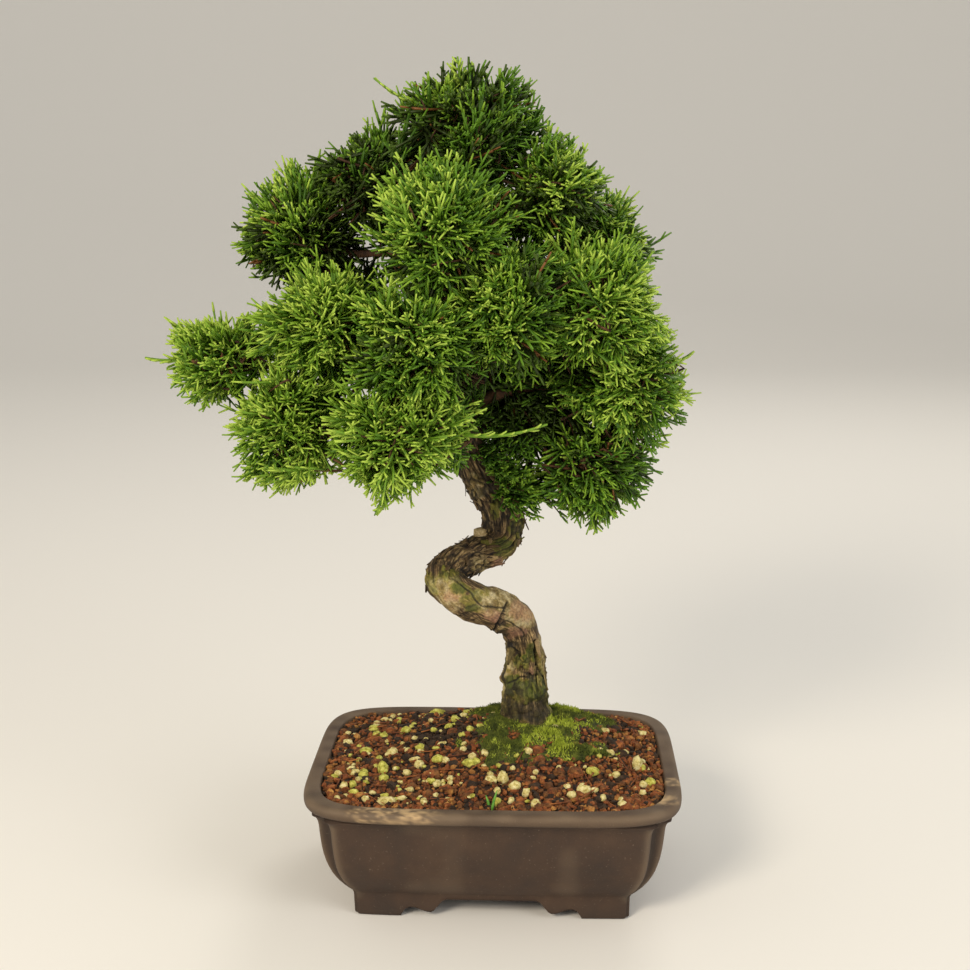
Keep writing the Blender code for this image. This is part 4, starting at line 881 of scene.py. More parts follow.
bark = {
    "fineStep": 0.60, "around": 112, "sourceStep": 7.4,
    "steady": (-0.58, 0.63, -0.51),            # a direction the trunk never runs along
    "rootLobes": ((0.3, 0.16), (1.7, 0.20), (3.0, 0.14), (4.1, 0.22), (5.3, 0.15)),
    "rootLobeWidth": 0.42, "flareHeight": 9.0, "sunk": 2.0,
    "lumps": 1.15, "plates": 1.25, "fibres": 0.22, "wrinkleDepth": 0.6, "footSwell": 1.1,
    "flakyFrom": 98.0, "flakyOver": 14.0,      # mm up the trunk where the bark turns flaky
    "flakes": 260, "flakeLength": (2.0, 6.0), "flakeWidth": (0.6, 1.7), "flakeLift": (0.2, 1.1),
    # Strips that peel off downwards: pixel of the upper end, length, half width and lift in mm
    "strips": ((544.0, 660.0, 17.0, 1.9, 3.0), (517.0, 540.0, 5.0, 1.4, 1.9),
               (537.0, 640.0, 12.0, 1.5, 0.8), (512.0, 648.0, 9.0, 1.5, 0.9),
               (505.5, 650.0, 13.0, 1.3, 0.7), (520.0, 652.0, 8.0, 1.4, 0.6), (529.0, 512.0, 9.0, 1.8, 1.2),
               (487.0, 470.0, 10.0, 1.6, 0.9), (496.0, 484.0, 9.0, 1.4, 0.8), (508.0, 560.0, 7.0, 1.6, 1.0)),
    # Cut twig on the left of the upper bend, each point with the radius there
    "stub": ((-2.5, 12.0, 174.4, 2.9), (-6.0, 10.8, 174.2, 2.6), (-8.6, 9.9, 174.0, 2.3),
             (-10.2, 9.4, 173.9, 2.0), (-10.5, 9.3, 173.9, 1.2)),
}
# Cracks as the photograph shows them: points in its pixels, half width in pixels, depth in mm
cracks = (
    (((507, 602), (503.5, 609), (500, 616), (497, 623), (492.5, 632)), 0.8, 1.7),
    (((450, 575), (459, 582), (466, 587.5), (471.5, 593), (477, 602), (481, 605.5)), 0.55, 0.9),
    (((481, 605.5), (493, 607), (505, 608)), 0.5, 0.9),
    (((498, 623), (507, 621), (518, 627), (523, 632), (523.5, 637)), 0.5, 0.7),
    (((534, 640), (536.5, 650), (537.5, 664), (537, 681)), 0.85, 1.9),
    (((538, 668), (543, 676), (547, 684), (551, 692)), 0.6, 1.2),
    (((514, 648), (518, 655), (522.5, 663)), 0.85, 1.5),
    (((505.5, 648), (504.5, 661), (505, 675), (506, 700)), 0.7, 0.9),
    (((508, 683), (516, 680.5), (525, 677), (533, 679)), 0.6, 0.6),
    (((504, 642), (510, 645.5)), 1.9, 1.9), (((495, 636), (499, 637.5)), 1.5, 1.5),
    (((530, 675), (533, 676)), 1.3, 1.4),
    (((462, 569), (467, 574), (474, 577)), 1.2, 1.3),
)
wrinkles = (((459, 611), (471, 607.5), (479, 604)), ((460, 616), (473, 612), (480, 607.5)),
            ((465, 620), (477, 615.5)), ((470, 623), (480, 619)))
# Patches in the photograph's pixels: place, half width, half height
patches = {
    "pale": ((521, 611, 20, 15), (495, 600, 22, 13), (444, 593, 19, 17), (508, 660, 6, 16), (504, 692, 4, 14),
             (543, 655, 4, 22), (477, 533, 4, 4), (477, 486, 9, 12), (480, 566, 9, 7), (521, 690, 4, 6)),
    "pink": ((523, 611, 15, 10), (493, 615, 10, 5), (502, 564, 9, 6), (521, 507, 5, 8), (531, 671, 3, 3),
             (452, 596, 10, 6), (516, 632, 10, 5)),
    "algae": ((532, 652, 6, 10), (521, 661, 9, 6), (460, 587, 13, 7), (448, 575, 11, 6), (482, 593, 11, 5),
              (431, 586, 6, 13), (508, 548, 14, 9), (519, 528, 10, 10), (496, 506, 6, 15), (474, 608, 8, 4),
              (532, 691, 12, 11), (514, 686, 10, 10), (548, 684, 5, 12), (470, 600, 12, 5)),
    # dark patches: dirt, and painted shadow on the undersides of the bends
    "grimeAndShadow": ((524, 709, 26, 9), (500, 631, 8, 5), (511, 644, 8, 4), (466, 627, 16, 5), (516, 700, 12, 14),
              (470, 576, 14, 3), (545, 700, 8, 10)),
}
# Swellings: place and radius in pixels, height in mm
swellings = ((502, 677, 5.0, 1.7), (534, 691, 7.5, 1.5), (549, 697, 5.0, 1.8), (520, 702, 7.0, 1.0),
             (508, 694, 5.0, 0.9), (540, 519, 6.0, 1.1), (430, 584, 7.0, 0.7), (499, 628, 4.5, 1.0),
             (526, 543, 5.0, 0.9), (463, 555, 4.0, 1.1), (441, 562, 4.0, 1.0), (452, 556, 3.5, 0.8),
             (541, 655, 4.0, 0.7), (482, 607, 5.0, 0.7), (478, 498, 5.0, 0.8))
# Knots: a raised ring round a dip, given as the swellings are
knots = ((533, 691, 7.0, 0.8), (527, 617, 1.8, 0.3), (477, 533, 3.6, 1.2), (498, 623, 1.6, 0.4))


def wayToPath(places, path):
    # Shortest distance from each place to a path of straight runs
    best = np.full(places.shape[:-1], 999.0)
    path = np.array(path, float)
    for start, end in zip(path[:-1], path[1:]):
        run = end - start
        share = np.clip(((places - start) @ run) / (run @ run), 0.0, 1.0)
        best = np.minimum(best, np.linalg.norm(places - start - share[..., None] * run, axis=-1))
    return best


def trunkSurface():
    # Circles round the centre line, swollen at the roots by exp(-(turn / width)^2), then pushed
    # out or in along themselves by lumps, plates, fibres and the cracks of the photograph
    line = smoothLine(trunkLine, bark["fineStep"], 24)
    centre, radius = line[:, :3], line[:, 3]
    tangent = unit(np.gradient(centre, axis=0))
    side = unit(np.cross(tangent, np.array(bark["steady"])))
    other = np.cross(tangent, side)
    turns = 2.0 * np.pi * np.arange(bark["around"]) / bark["around"]
    out = np.cos(turns)[:, None] * side[:, None] + np.sin(turns)[:, None] * other[:, None]
    travelled = np.concatenate([[0.0], np.cumsum(np.linalg.norm(np.diff(centre, axis=0), axis=1))])
    bearing = np.arctan2(out[..., 1], out[..., 0])
    flare = np.clip(1.0 - (centre[:, 2] - centre[0, 2]) / bark["flareHeight"], 0.0, 1.0)[:, None] ** 1.5
    swell = sum(size * np.exp(-((np.angle(np.exp(1j * (bearing - middle))) / bark["rootLobeWidth"]) ** 2))
                for middle, size in bark["rootLobes"])
    skin = centre[:, None] + out * (radius[:, None] * (1.0 + flare * swell))[..., None]
    # Bark grain runs along the trunk, so its noise is read on an unrolled drum
    drum = np.stack([np.cos(turns) * radius[:, None], np.sin(turns) * radius[:, None],
                     np.repeat(travelled[:, None], len(turns), axis=1)], axis=-1)
    seen = pixelOf(skin)
    facing = (out * unit(np.array(cameraView["place"]) - skin)).sum(axis=-1)
    front, turned = np.clip(facing * 5.0, 0.0, 1.0), np.clip(1.0 + 2.0 * facing, 0.0, 1.0)

    ragged = 0.32 * softNoise(skin, 3.4, 45) + 0.24 * softNoise(skin, 1.5, 44)

    def patch(name):
        best = np.zeros(front.shape)
        for u, v, wide, tall in patches[name]:
            away = np.hypot((seen[..., 0] - u) / wide, (seen[..., 1] - v) / tall) + ragged
            best = np.maximum(best, np.clip((1.22 - away) * 2.5, 0.0, 1.0) * front)
        return best

    upper = np.clip((travelled - bark["flakyFrom"]) / bark["flakyOver"], 0.0, 1.0)[:, None]
    lower = np.clip((48.0 - travelled) / 12.0, 0.0, 1.0)[:, None]
    # The dark patches and the darker foot are dirt and wet, and painted shadow under the bends
    pale, grimeAndShadow = patch("pale"), patch("grimeAndShadow")
    behind = np.clip(softNoise(skin, 13.0, 50) + 0.1, 0.0, 1.0) * (1.0 - front)
    pale = np.maximum(pale, 0.8 * behind * (1.0 - upper))
    flaky = np.clip(0.14 + upper + 0.62 * lower - 0.6 * pale * (1.0 - upper), 0.08, 1.0)
    relief = bark["lumps"] * (softNoise(skin, 10.0, 51) + 0.6 * softNoise(skin, 4.6, 52))
    relief += (bark["footSwell"] * np.exp(-((travelled / 15.0) ** 2))[:, None]
               * (1.0 + softNoise(skin, 6.0, 46)))
    for u, v, size, height in swellings:
        relief += height * np.exp(-((np.hypot(seen[..., 0] - u, seen[..., 1] - v) / size) ** 2)) * turned
    bent = drum * (1.0, 1.0, 0.30) + 1.8 * softNoise(skin, 4.0, 53)[..., None]
    near, second = cellNoise(bent, 3.9, 54)
    seam = np.clip(1.0 - (second - near) / 0.24, 0.0, 1.0)
    strips = softNoise(drum * (1.0, 1.0, 0.14) + 0.8 * softNoise(skin, 3.0, 49)[..., None], 1.7, 55)
    relief += flaky * bark["plates"] * (0.55 * strips - 0.8 * seam + 0.35 * softNoise(bent, 3.9, 48))
    relief += bark["fibres"] * softNoise(drum * (1.0, 1.0, 0.2), 0.95, 56) * (0.5 + flaky)
    relief += 0.30 * softNoise(skin, 2.1, 47) * (0.5 + lower)
    # Painted shade darkens the seams, the dips between strips, the cracks and the wrinkles
    crackShade = np.clip(seam * flaky * 1.1 + 0.7 * np.clip(-strips - 0.35, 0.0, 1.0) * upper, 0.0, 1.0)
    wander = seen + 1.1 * np.stack([softNoise(skin, 3.0, 57), softNoise(skin, 3.0, 58)], axis=-1)
    for path, half, depth in cracks:
        away = wayToPath(wander, path)
        groove = np.clip(1.0 - away / (2.1 * half), 0.0, 1.0) * front
        lip = np.exp(-(((away - 3.4 * half) / (1.4 * half)) ** 2)) * front
        relief += 0.30 * depth * lip - depth * groove ** 1.3
        crackShade = np.maximum(crackShade, np.clip(2.2 * groove, 0.0, 1.0))
    for path in wrinkles:
        groove = np.exp(-((wayToPath(wander, path) / 0.8) ** 2)) * front
        relief -= bark["wrinkleDepth"] * groove
        crackShade = np.maximum(crackShade, 0.75 * groove)
    for u, v, size, height in knots:
        away = np.hypot(seen[..., 0] - u, seen[..., 1] - v) / size
        ring, dip = np.exp(-(((away - 0.9) / 0.28) ** 2)), np.exp(-((away / 0.55) ** 2))
        relief += height * (ring - 0.5 * dip) * front
    skin = skin + out * relief[..., None]
    skin[0] -= (0.0, 0.0, bark["sunk"])
    moist = np.clip((235.0 - centre[:, 2]) / 20.0, 0.0, 1.0)[:, None]
    speckle = softNoise(skin, 1.6, 60)
    algae = 1.1 * patch("algae") + 0.5 * lower + 0.45 * softNoise(skin, 5.5, 59) + 0.35 * speckle - 0.25
    shares = {
        "crackShade": crackShade,
        "pale": np.clip(1.15 * pale + 0.30 * softNoise(skin, 3.5, 61) * (pale > 0.05), 0.0, 1.0),
        "pink": np.clip(1.1 * patch("pink") + 0.3 * softNoise(skin, 4.0, 62) - 0.05, 0.0, 1.0),
        "algae": np.clip(algae, 0.0, 1.0) * moist,
        "grimeAndShadow": np.clip(1.1 * grimeAndShadow + 0.6 * np.clip(1.0 - travelled / 14.0, 0.0, 1.0)[:, None]
                         + 0.5 * softNoise(skin, 4.0, 63) - 1.2 * ragged - 0.15, 0.0, 1.0),
        "grain": drum,
    }
    return skin, out, shares, flaky, travelled


def barkMaterial(name, young=False):
    # Juniper bark: soft, fibrous, shed in strips. Grey-brown outside, tan and pink-brown where it has come
    # off, black with painted shade in the seams and cracks, dark with dirt and painted shadow in patches, and
    # green where algae grow
    wood, shader = newMaterial(name, 0.80)
    place = addNode(wood, "ShaderNodeTexCoord").outputs["Object"]
    blotch = addNode(wood, "ShaderNodeTexNoise", {"Vector": place, "Scale": perMetre(5.0), "Detail": 6.0,
                                                  "Roughness": 0.68})
    tones = ((0.32, "#1c140b"), (0.5, "#4b381f"), (0.70, "#8e6f48"))
    if young:
        tones = ((0.30, "#2f1e13"), (0.5, "#54371f"), (0.70, "#7c5534"))
    colour = addNode(wood, "ShaderNodeValToRGB", {"Fac": blotch.outputs[0]}, stops=tones).outputs[0]
    fine = addNode(wood, "ShaderNodeTexNoise", {"Vector": place, "Scale": perMetre(1.1), "Detail": 4.0,
                                                "Roughness": 0.7}).outputs[0]
    if not young:
        # Fibres about 0.8 mm wide and 7 mm long, along the trunk
        drum = addNode(wood, "ShaderNodeAttribute", attribute_name="grain")
        drawn = addNode(wood, "ShaderNodeMapping", {"Vector": drum.outputs["Vector"],
                                                    "Scale": (1.2, 1.2, 0.14)})
        fibre = addNode(wood, "ShaderNodeTexNoise", {"Vector": drawn.outputs[0], "Scale": 1.0, "Detail": 3.0,
                                                     "Roughness": 0.6}).outputs[0]
        strip = addNode(wood, "ShaderNodeValToRGB", {"Fac": fibre},
                        stops=((0.37, "#1e160d"), (0.5, "#5a4628"), (0.63, "#c8aa76"))).outputs[0]
        colour = addNode(wood, "ShaderNodeMix", {"Factor": 0.68, 6: colour, 7: strip},
                         data_type="RGBA").outputs[2]
        fleshy = addNode(wood, "ShaderNodeValToRGB", {"Fac": blotch.outputs[0]},
                         stops=((0.32, "#46391b"), (0.46, "#958048"), (0.66, "#dacba0"))).outputs[0]
        # Algae: a thin yellow-olive film that turns dark green where it is thick
        cover = addNode(wood, "ShaderNodeAttribute", attribute_name="algae")
        film = addNode(wood, "ShaderNodeValToRGB", {"Fac": cover.outputs["Fac"]},
                       stops=((0.15, "#b0a246"), (0.5, "#939127"), (0.95, "#525e14"))).outputs[0]
        layers = (("pale", fleshy, 0.92), ("pink", linear("#bc8b70"), 0.44), ("algae", film, 0.80),
                  ("grimeAndShadow", linear("#2a2412"), 0.80), ("crackShade", linear("#120c07"), 0.90))
        for mark, tone, strength in layers:
            share = addNode(wood, "ShaderNodeAttribute", attribute_name=mark)
            part = addNode(wood, "ShaderNodeMath", {0: share.outputs["Fac"], 1: strength},
                           operation="MULTIPLY")
            colour = addNode(wood, "ShaderNodeMix", {"Factor": part.outputs[0], 6: colour, 7: tone},
                             data_type="RGBA").outputs[2]
    shade = addNode(wood, "ShaderNodeMapRange", {"Value": fine, 1: 0.3, 2: 0.7, 3: 0.46, 4: 1.30})
    final = addNode(wood, "ShaderNodeMix", {"Factor": 1.0, 6: colour, 7: shade.outputs[0]}, data_type="RGBA",
                    blend_type="MULTIPLY")
    bump = addNode(wood, "ShaderNodeBump", {"Strength": 0.7, "Distance": 0.0006, "Height": fine})
    wood.node_tree.links.new(final.outputs[2], shader.inputs["Base Color"])
    wood.node_tree.links.new(bump.outputs[0], shader.inputs["Normal"])
    return wood


def makeTrunk():
    # The bark's surface, then flakes and strips that stand off it, and a cut stub
    skin, out, shares, flaky, travelled = trunkSurface()
    rings, around = skin.shape[:2]
    wood = barkMaterial("fibrous juniper bark")
    marks = {name: values.reshape(rings * around, *values.shape[2:]) for name, values in shares.items()}
    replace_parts(addPiece("trunkBark", skin.reshape(-1, 3), loftFaces(rings, around), wood, "bark",
                         marks=marks), "trunk")
    # Loose flakes: small curved scales of bark, rooted at one end and lifted at the other by t^2
    rng = np.random.default_rng(71)
    weight = (np.clip(flaky - 0.35, 0.0, 1.0) * (travelled[:, None] < 190.0)).ravel()
    chosen = rng.choice(rings * around, bark["flakes"], p=weight / weight.sum(), replace=False)
    strips = np.array(bark["strips"])
    toCamera = ((out * (np.array(cameraView["place"]) - skin)).sum(axis=-1) > 0.0).ravel()
    off = np.linalg.norm(pixelOf(skin).reshape(-1, 2) - strips[:, None, :2], axis=-1) + 999.0 * ~toCamera
    level, turn = np.unravel_index(np.concatenate([chosen, np.argmin(off, axis=1)]), (rings, around))
    level = np.clip(level, 3, rings - 4)
    root, away = skin[level, turn], out[level, turn]
    along = unit(skin[np.minimum(level + 3, rings - 1), turn] - skin[level - 3, turn])
    along *= np.append(rng.choice([-1.0, 1.0], len(chosen)), np.full(len(strips), -1.0))[:, None]
    across = np.cross(along, away)
    length, width, lift = (rng.uniform(*bark[name], len(root))
                           for name in ("flakeLength", "flakeWidth", "flakeLift"))
    length[-len(strips):], width[-len(strips):], lift[-len(strips):] = strips[:, 2:].T
    rows, columns = 5, 4                       # points along and across a flake, on each side
    share, wide = (grid.ravel() for grid in np.meshgrid(np.linspace(0.0, 1.0, rows),
                                                        np.linspace(-1.0, 1.0, columns), indexing="ij"))
    top = (root[:, None] + along[:, None] * (length[:, None] * share)[..., None]
           + across[:, None] * (width[:, None] * wide * (1.0 - 0.55 * share ** 2))[..., None]
           + away[:, None] * (lift[:, None] * share ** 2 - 0.25 * wide ** 2 + 0.1)[..., None])
    low = top - away[:, None] * (0.28 * (1.0 - 0.6 * share))[..., None]
    points = np.concatenate([top, low], axis=1)
    each = rows * columns
    grid = np.arange(each).reshape(rows, columns)
    upper = np.stack([grid[:-1, :-1], grid[1:, :-1], grid[1:, 1:], grid[:-1, 1:]], axis=-1).reshape(-1, 4)
    rim = np.concatenate([grid[0, :], grid[1:, -1], grid[-1, :-1][::-1], grid[1:-1, 0][::-1]])
    walls = np.stack([rim, np.roll(rim, -1), np.roll(rim, -1) + each, rim + each], axis=-1)
    shape = np.concatenate([upper, upper[:, ::-1] + each, walls])
    faces = (shape[None] + 2 * each * np.arange(len(root))[:, None, None]).reshape(-1, 4)
    strength = {"crackShade": 0.0, "grain": 1.0}
    flakeMarks = {name: np.repeat(values[level, turn] * strength.get(name, 0.8), 2 * each, axis=0)
                  for name, values in shares.items()}
    addPiece("barkFlakes", points.reshape(-1, 3), [faces], wood, "bark", marks=flakeMarks)
    stub = np.array(bark["stub"], float)
    points, faces = tubes(stub[None, :, :3], stub[None, :, 3], 12)
    points += 0.35 * softNoise(points, 1.6, 64)[:, None]
    pale = grainMaterial("weathered cut juniper wood", "#7d6743", "#b39b70", "#d8c69b", 2.0)
    addPiece("cutStub", points, faces, pale, "bark")


# Foliage masses: middle, half sizes, the limb each grows from, the height on the trunk (or the
# share of the way along a bough) where it leaves, its root radius, and its painted light: lighter tints above
# 0, darker below
masses = {
    "top": ((-13.0, 0.0, 365.0), (44, 39, 34), "trunk", None, None, -0.36),
    "shoulder_left": ((-60.0, 10.0, 344.0), (32, 32, 31), "trunk", 312.0, 2.5, -0.20),
    "shoulder_right": ((26.0, -8.0, 339.0), (32, 32, 31), "trunk", 316.0, 2.4, -0.08),
    "upper_left": ((-93.0, 12.0, 319.0), (37, 36, 38), "trunk", 283.0, 3.2, -0.16),
    "upper_front": ((-20.0, -48.0, 322.0), (39, 36, 34), "trunk", 300.0, 2.8, 0.0),
    "upper_right": ((47.0, 22.0, 312.0), (32, 34, 33), "trunk", 292.0, 2.8, -0.08),
    "upper_back": ((-28.0, 48.0, 330.0), (40, 36, 36), "trunk", 304.0, 2.8, -0.02),
    "right_front": ((47.0, -32.0, 290.0), (35, 34, 34), "trunk", 266.0, 3.2, 0.08),
    "right_side": ((61.0, -14.0, 250.0), (35, 36, 37), "trunk", 232.0, 3.6, 0.02),
    "right_low": ((46.0, -6.0, 210.0), (35, 34, 34), "trunk", 186.0, 4.2, -0.28),
    "left_top": ((-74.0, -42.0, 281.0), (37, 34, 30), "left_far", 0.34, 2.8, 0.20),
    "left_far": ((-124.0, -30.0, 264.0), (35, 31, 24), "trunk", 240.0, 4.4, 0.08),
    "left_low": ((-90.0, -42.0, 234.0), (36, 35, 35), "left_far", 0.50, 2.6, 0.14),
    "middle_low": ((-40.0, -58.0, 231.0), (39, 36, 34), "trunk", 214.0, 3.8, 0.12),
    "middle_front": ((-34.0, -58.0, 274.0), (36, 34, 32), "trunk", 252.0, 3.0, 0.06),
    "front": ((7.0, -45.0, 288.0), (35, 33, 37), "trunk", 274.0, 2.8, 0.04),
    "inner_right": ((18.0, 18.0, 238.0), (36, 38, 42), "trunk", 220.0, 3.6, -0.22),
    "back_left": ((-84.0, 44.0, 275.0), (40, 40, 38), "trunk", 256.0, 3.6, 0.02),
    "back_low": ((-24.0, 52.0, 228.0), (42, 38, 34), "trunk", 206.0, 3.8, -0.02),
    "back": ((-12.0, 66.0, 280.0), (42, 38, 38), "trunk", 262.0, 3.4, 0.02),
    "back_right": ((46.0, 54.0, 268.0), (38, 38, 39), "trunk", 246.0, 3.4, 0.0),
}
massNames = list(masses)
massMiddles = np.array([mass[0] for mass in masses.values()])
massHalves = np.array([mass[1] for mass in masses.values()], float)
# Single shoots that reach past a mass: the mass, the point of the tip
longShoots = (("left_far", (-157.0, -34.0, 265.0)), ("top", (-54.5, -8.0, 388.0)),
              ("right_side", (91.5, -14.0, 266.5)), ("right_low", (48.5, -14.0, 180.0)),
              ("top", (-17.0, -4.0, 397.5)), ("middle_low", (24.5, -78.0, 243.5)))
limbRule = {
    "seed": 11, "tipRadius": 1.7, "taper": (1.0, 0.78, 0.60), "rings": 5, "arch": 0.16, "sway": 0.07,
    "bends": ((0.36, 0.8, 1.0), (0.72, 0.7, -0.5)), "tipInset": 0.80, "leastBough": 13.0,
    # bark of a bough and of the stem that it runs out in: sides, step in mm, share of the way to
    # the mass's middle, rings and end radius of the stem
    "sides": 14, "fineStep": 0.9, "stemShare": 0.55, "stemRings": 11, "stemTip": 0.9,
}


def planLimbs():
    # The source's rule again: a bough runs from its parent to where it enters its mass, bowed
    # up by a share of its span and swayed aside by a seeded draw
    lines = {"trunk": smoothLine(trunkLine, bark["sourceStep"])}
    order = sorted(masses, key=lambda name: masses[name][2] != "trunk")
    for number, name in enumerate(order):
        middle, half, parent, place, radius, _ = masses[name]
        if place is None:
            continue
        sway = random.Random(limbRule["seed"] * 100 + number).uniform(-limbRule["sway"], limbRule["sway"])
        line = lines[parent]
        if parent == "trunk":
            start = line[np.argmin(abs(line[:, 2] - place))]
        else:
            start = line[int(round(place * (len(line) - 1)))]
        toward = np.array(middle) - start[:3]
        scale = np.linalg.norm(toward / np.array(half))
        least = (start[3] + limbRule["leastBough"]) / np.linalg.norm(toward)
        tip = start[:3] + toward * max(1.0 - limbRule["tipInset"] / scale, least)
        span = np.linalg.norm(tip - start[:3])
        flat = unit(toward * (1.0, 1.0, 0.0))
        aside = np.array([-flat[1], flat[0], 0.0]) * span * sway
        places = [start[:3]] + [start[:3] + share * (tip - start[:3]) + rise * limbRule["arch"] * span * up
                                + lean * aside for share, rise, lean in limbRule["bends"]] + [tip]
        radii = [radius * taper for taper in limbRule["taper"]] + [limbRule["tipRadius"]]
        points = [(*where, thick) for where, thick in zip(places, radii)]
        lines[name] = smoothLine(points, span / (limbRule["rings"] - 1))
    return lines


def makeBoughs(lines):
    # Boughs as fine tubes, each running on in a thin stem, whose skin is lifted by two soft noises
    shapes, sides, count = [], limbRule["sides"], limbRule["stemRings"]
    for name in list(lines)[1:]:
        line = smoothLine(lines[name], limbRule["fineStep"])
        middle = massMiddles[massNames.index(name)]
        tip = line[-1]
        stem = np.linspace(tip[:3], tip[:3] + limbRule["stemShare"] * (middle - tip[:3]), count + 1)[1:]
        line = np.vstack([line, np.column_stack([stem, np.linspace(tip[3], limbRule["stemTip"], count)])])
        points, faces = tubes(line[None, :, :3], line[None, :, 3], sides)
        rings = points.reshape(len(line), sides, 3)
        out = unit(rings - line[:, None, :3])
        relief = 0.30 * softNoise(rings, 3.2, 62) + 0.22 * softNoise(rings, 1.3, 63)
        rings = rings + out * (relief * np.clip(line[:, 3] / 3.0, 0.3, 1.0)[:, None])[..., None]
        shapes.append((rings.reshape(-1, 3), faces))
    piece = addPiece("boughBark", *joinShapes(shapes), barkMaterial("young flaky juniper bark", True), "bark")
    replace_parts(piece, *["bough_" + name for name in list(lines)[1:]])


# Foliage

foliage = {
    # tufts and inner plumes of a mass whose mean half size is tuftsAt mm
    "tufts": 16, "innerPlumes": 28, "tuftsAt": 33.0,
    "tuftPlumes": 3, "tuftSpread": 0.25, "tuftStand": (0.66, 1.0), "tuftLean": 0.30,
    "valleyPlumes": 46,                        # tried where two masses meet at the crown's skin
    "plumeRun": (16.0, 26.0),                  # mm of twig that carries shoots
    "plumeInset": 8.0,                         # from a plume's end to the reach of its mass
    "shoots": 11, "shootLength": (12.5, 19.5),
    "boughPlumes": 8, "trunkPlumes": 84, "woodPlumeRun": (10.0, 19.0),
    "trunkFrom": 192.0, "hangBelow": 216.0,    # heights on the trunk
    "cordRadius": 0.63,                        # scaly shoots are 1.2 to 1.4 mm thick
    "forks": ((0.42, 0.42, 0.50), (0.60, 0.34, 0.60), (0.77, 0.27, 0.50)),  # place, length, chance
    "forkLean": math.radians(42.0), "upSweep": 0.16, "clearance": 0.9,
    "hiddenShare": 0.50,                       # plumes kept where a neighbouring mass hides them
    "drawIn": np.linspace(1.0, 0.55, 10),      # steps in towards the mass's middle
    "tipReach": 7.0,                           # how far a plume's shoots reach past its end
    "depthMiddle": 4.0, "depthHalf": 91.0,     # plumes end within this from front to back
    "mains": 9,                                # main twigs in a mass
    "strayShare": 0.25,                        # shoots that may pass the outline
    "hollowThin": 0.10, "hollowDark": 0.55,    # in a dark hollow: plumes left out, light lost
    "crownMiddle": (-30.0, 0.0, 288.0), "crownHalf": (125.0, 92.0, 112.0),
    "deadShare": 0.07,
    "tintShares": (0.22, 0.50, 0.78),          # shoots up to where each next tint starts
}
# The crown's outline in the photograph, clockwise in pixels, without its few long shoots
crownOutline = (
    (396, 96), (418, 72), (440, 64), (458, 59), (474, 66), (500, 71), (520, 77), (534, 96),
    (547, 120), (572, 140), (584, 162), (598, 176), (614, 197), (636, 211), (640, 230), (660, 254),
    (646, 264), (641, 286), (654, 310), (674, 332), (676, 372), (683, 386), (685, 424), (676, 452),
    (658, 460), (648, 486), (618, 514), (596, 532), (576, 514), (560, 497), (542, 502), (530, 509),
    (516, 508), (504, 497), (492, 482), (484, 472), (474, 462), (452, 466), (428, 471), (410, 486),
    (396, 501), (374, 515), (362, 496), (359, 480), (338, 478), (331, 460), (318, 468), (304, 490),
    (272, 491), (246, 483), (236, 464), (225, 429), (240, 412), (258, 380), (244, 370), (236, 394),
    (206, 409), (186, 396), (177, 380), (175, 352), (172, 328), (200, 323), (220, 316), (232, 330),
    (248, 314), (292, 306), (296, 286), (284, 276), (258, 279), (240, 264), (240, 244), (250, 224),
    (247, 200), (264, 174), (286, 160), (308, 165), (340, 158), (356, 132), (378, 118))
# Dark hollows between the masses: pixel and radius in pixels
hollows = ((361, 218, 22), (370, 274, 20), (424, 168, 16), (477, 154, 12), (547, 290, 20), (575, 218, 15),
           (386, 364, 18), (520, 400, 34), (560, 390, 30), (315, 397, 11), (440, 299, 14), (480, 425, 22))
# Plain colours of living shoots, from shaded to sunlit: body, then tip
tints = {
    "Shade": ("#29380d", "#405716"),
    "Deep": ("#395b13", "#5c8520"),
    "Mid": ("#4f761a", "#80a52f"),
    "Bright": ("#6b9229", "#abc84e"),
}


class Room:
    # The space of one mass: its oval, parted from each neighbour on the plane where their
    # reaches meet, 0.45 mm short of it, and clear of the limbs
    def __init__(self, number, limbPoints):
        self.middle, self.half, self.limbs = massMiddles[number], massHalves[number], limbPoints
        others = np.arange(len(masses)) != number
        between = massMiddles[others] - self.middle
        distance = np.linalg.norm(between, axis=1)
        self.axis = between / distance[:, None]
        own = 1.0 / np.linalg.norm(self.axis / self.half, axis=1)
        other = 1.0 / np.linalg.norm(self.axis / massHalves[others], axis=1)
        self.split = 0.5 * (distance + (own ** 2 - other ** 2) / distance) - 0.45

    def holds(self, points, oval=1.0):
        # Inside the oval and short of every parting plane
        offset = points - self.middle
        inside = np.linalg.norm(offset / self.half, axis=-1) <= oval
        return inside & (offset @ self.axis.T <= self.split).all(axis=-1)

    def clear(self, points):
        # Further from every limb than its radius and the clearance
        away = np.linalg.norm(points[..., None, :] - self.limbs[:, :3], axis=-1) - self.limbs[:, 3]
        return away.min(axis=-1) >= foliage["clearance"]

    def reach(self, directions, oval=1.0):
        # The last whole mm along each direction that is still inside
        steps = np.arange(1.0, 70.0, 1.0)
        inside = self.holds(self.middle + directions[:, None] * steps[:, None], oval)
        return np.where(inside.all(axis=1), steps[-1], steps[np.argmin(inside, axis=1)] - 1.0)


def evenDirections(count, rng):
    # Directions on a spiral: height falls evenly, each turned on by the golden angle
    height = 1.0 - (2.0 * np.arange(count) + 1.0) / count
    level = np.sqrt(1.0 - height ** 2)
    turn = np.arange(count) * golden + rng.uniform(0.0, 2.0 * np.pi)
    spread = np.stack([level * np.cos(turn), level * np.sin(turn), height], axis=1)
    return unit(spread + rng.normal(0.0, 0.6 / math.sqrt(count), spread.shape))


def crownPlace(points):
    # The way out of the crown at a point, and how far out it is: 0 in the middle, 1 at its skin
    offset = points - foliage["crownMiddle"]
    return unit(offset), np.linalg.norm(offset / foliage["crownHalf"], axis=-1)


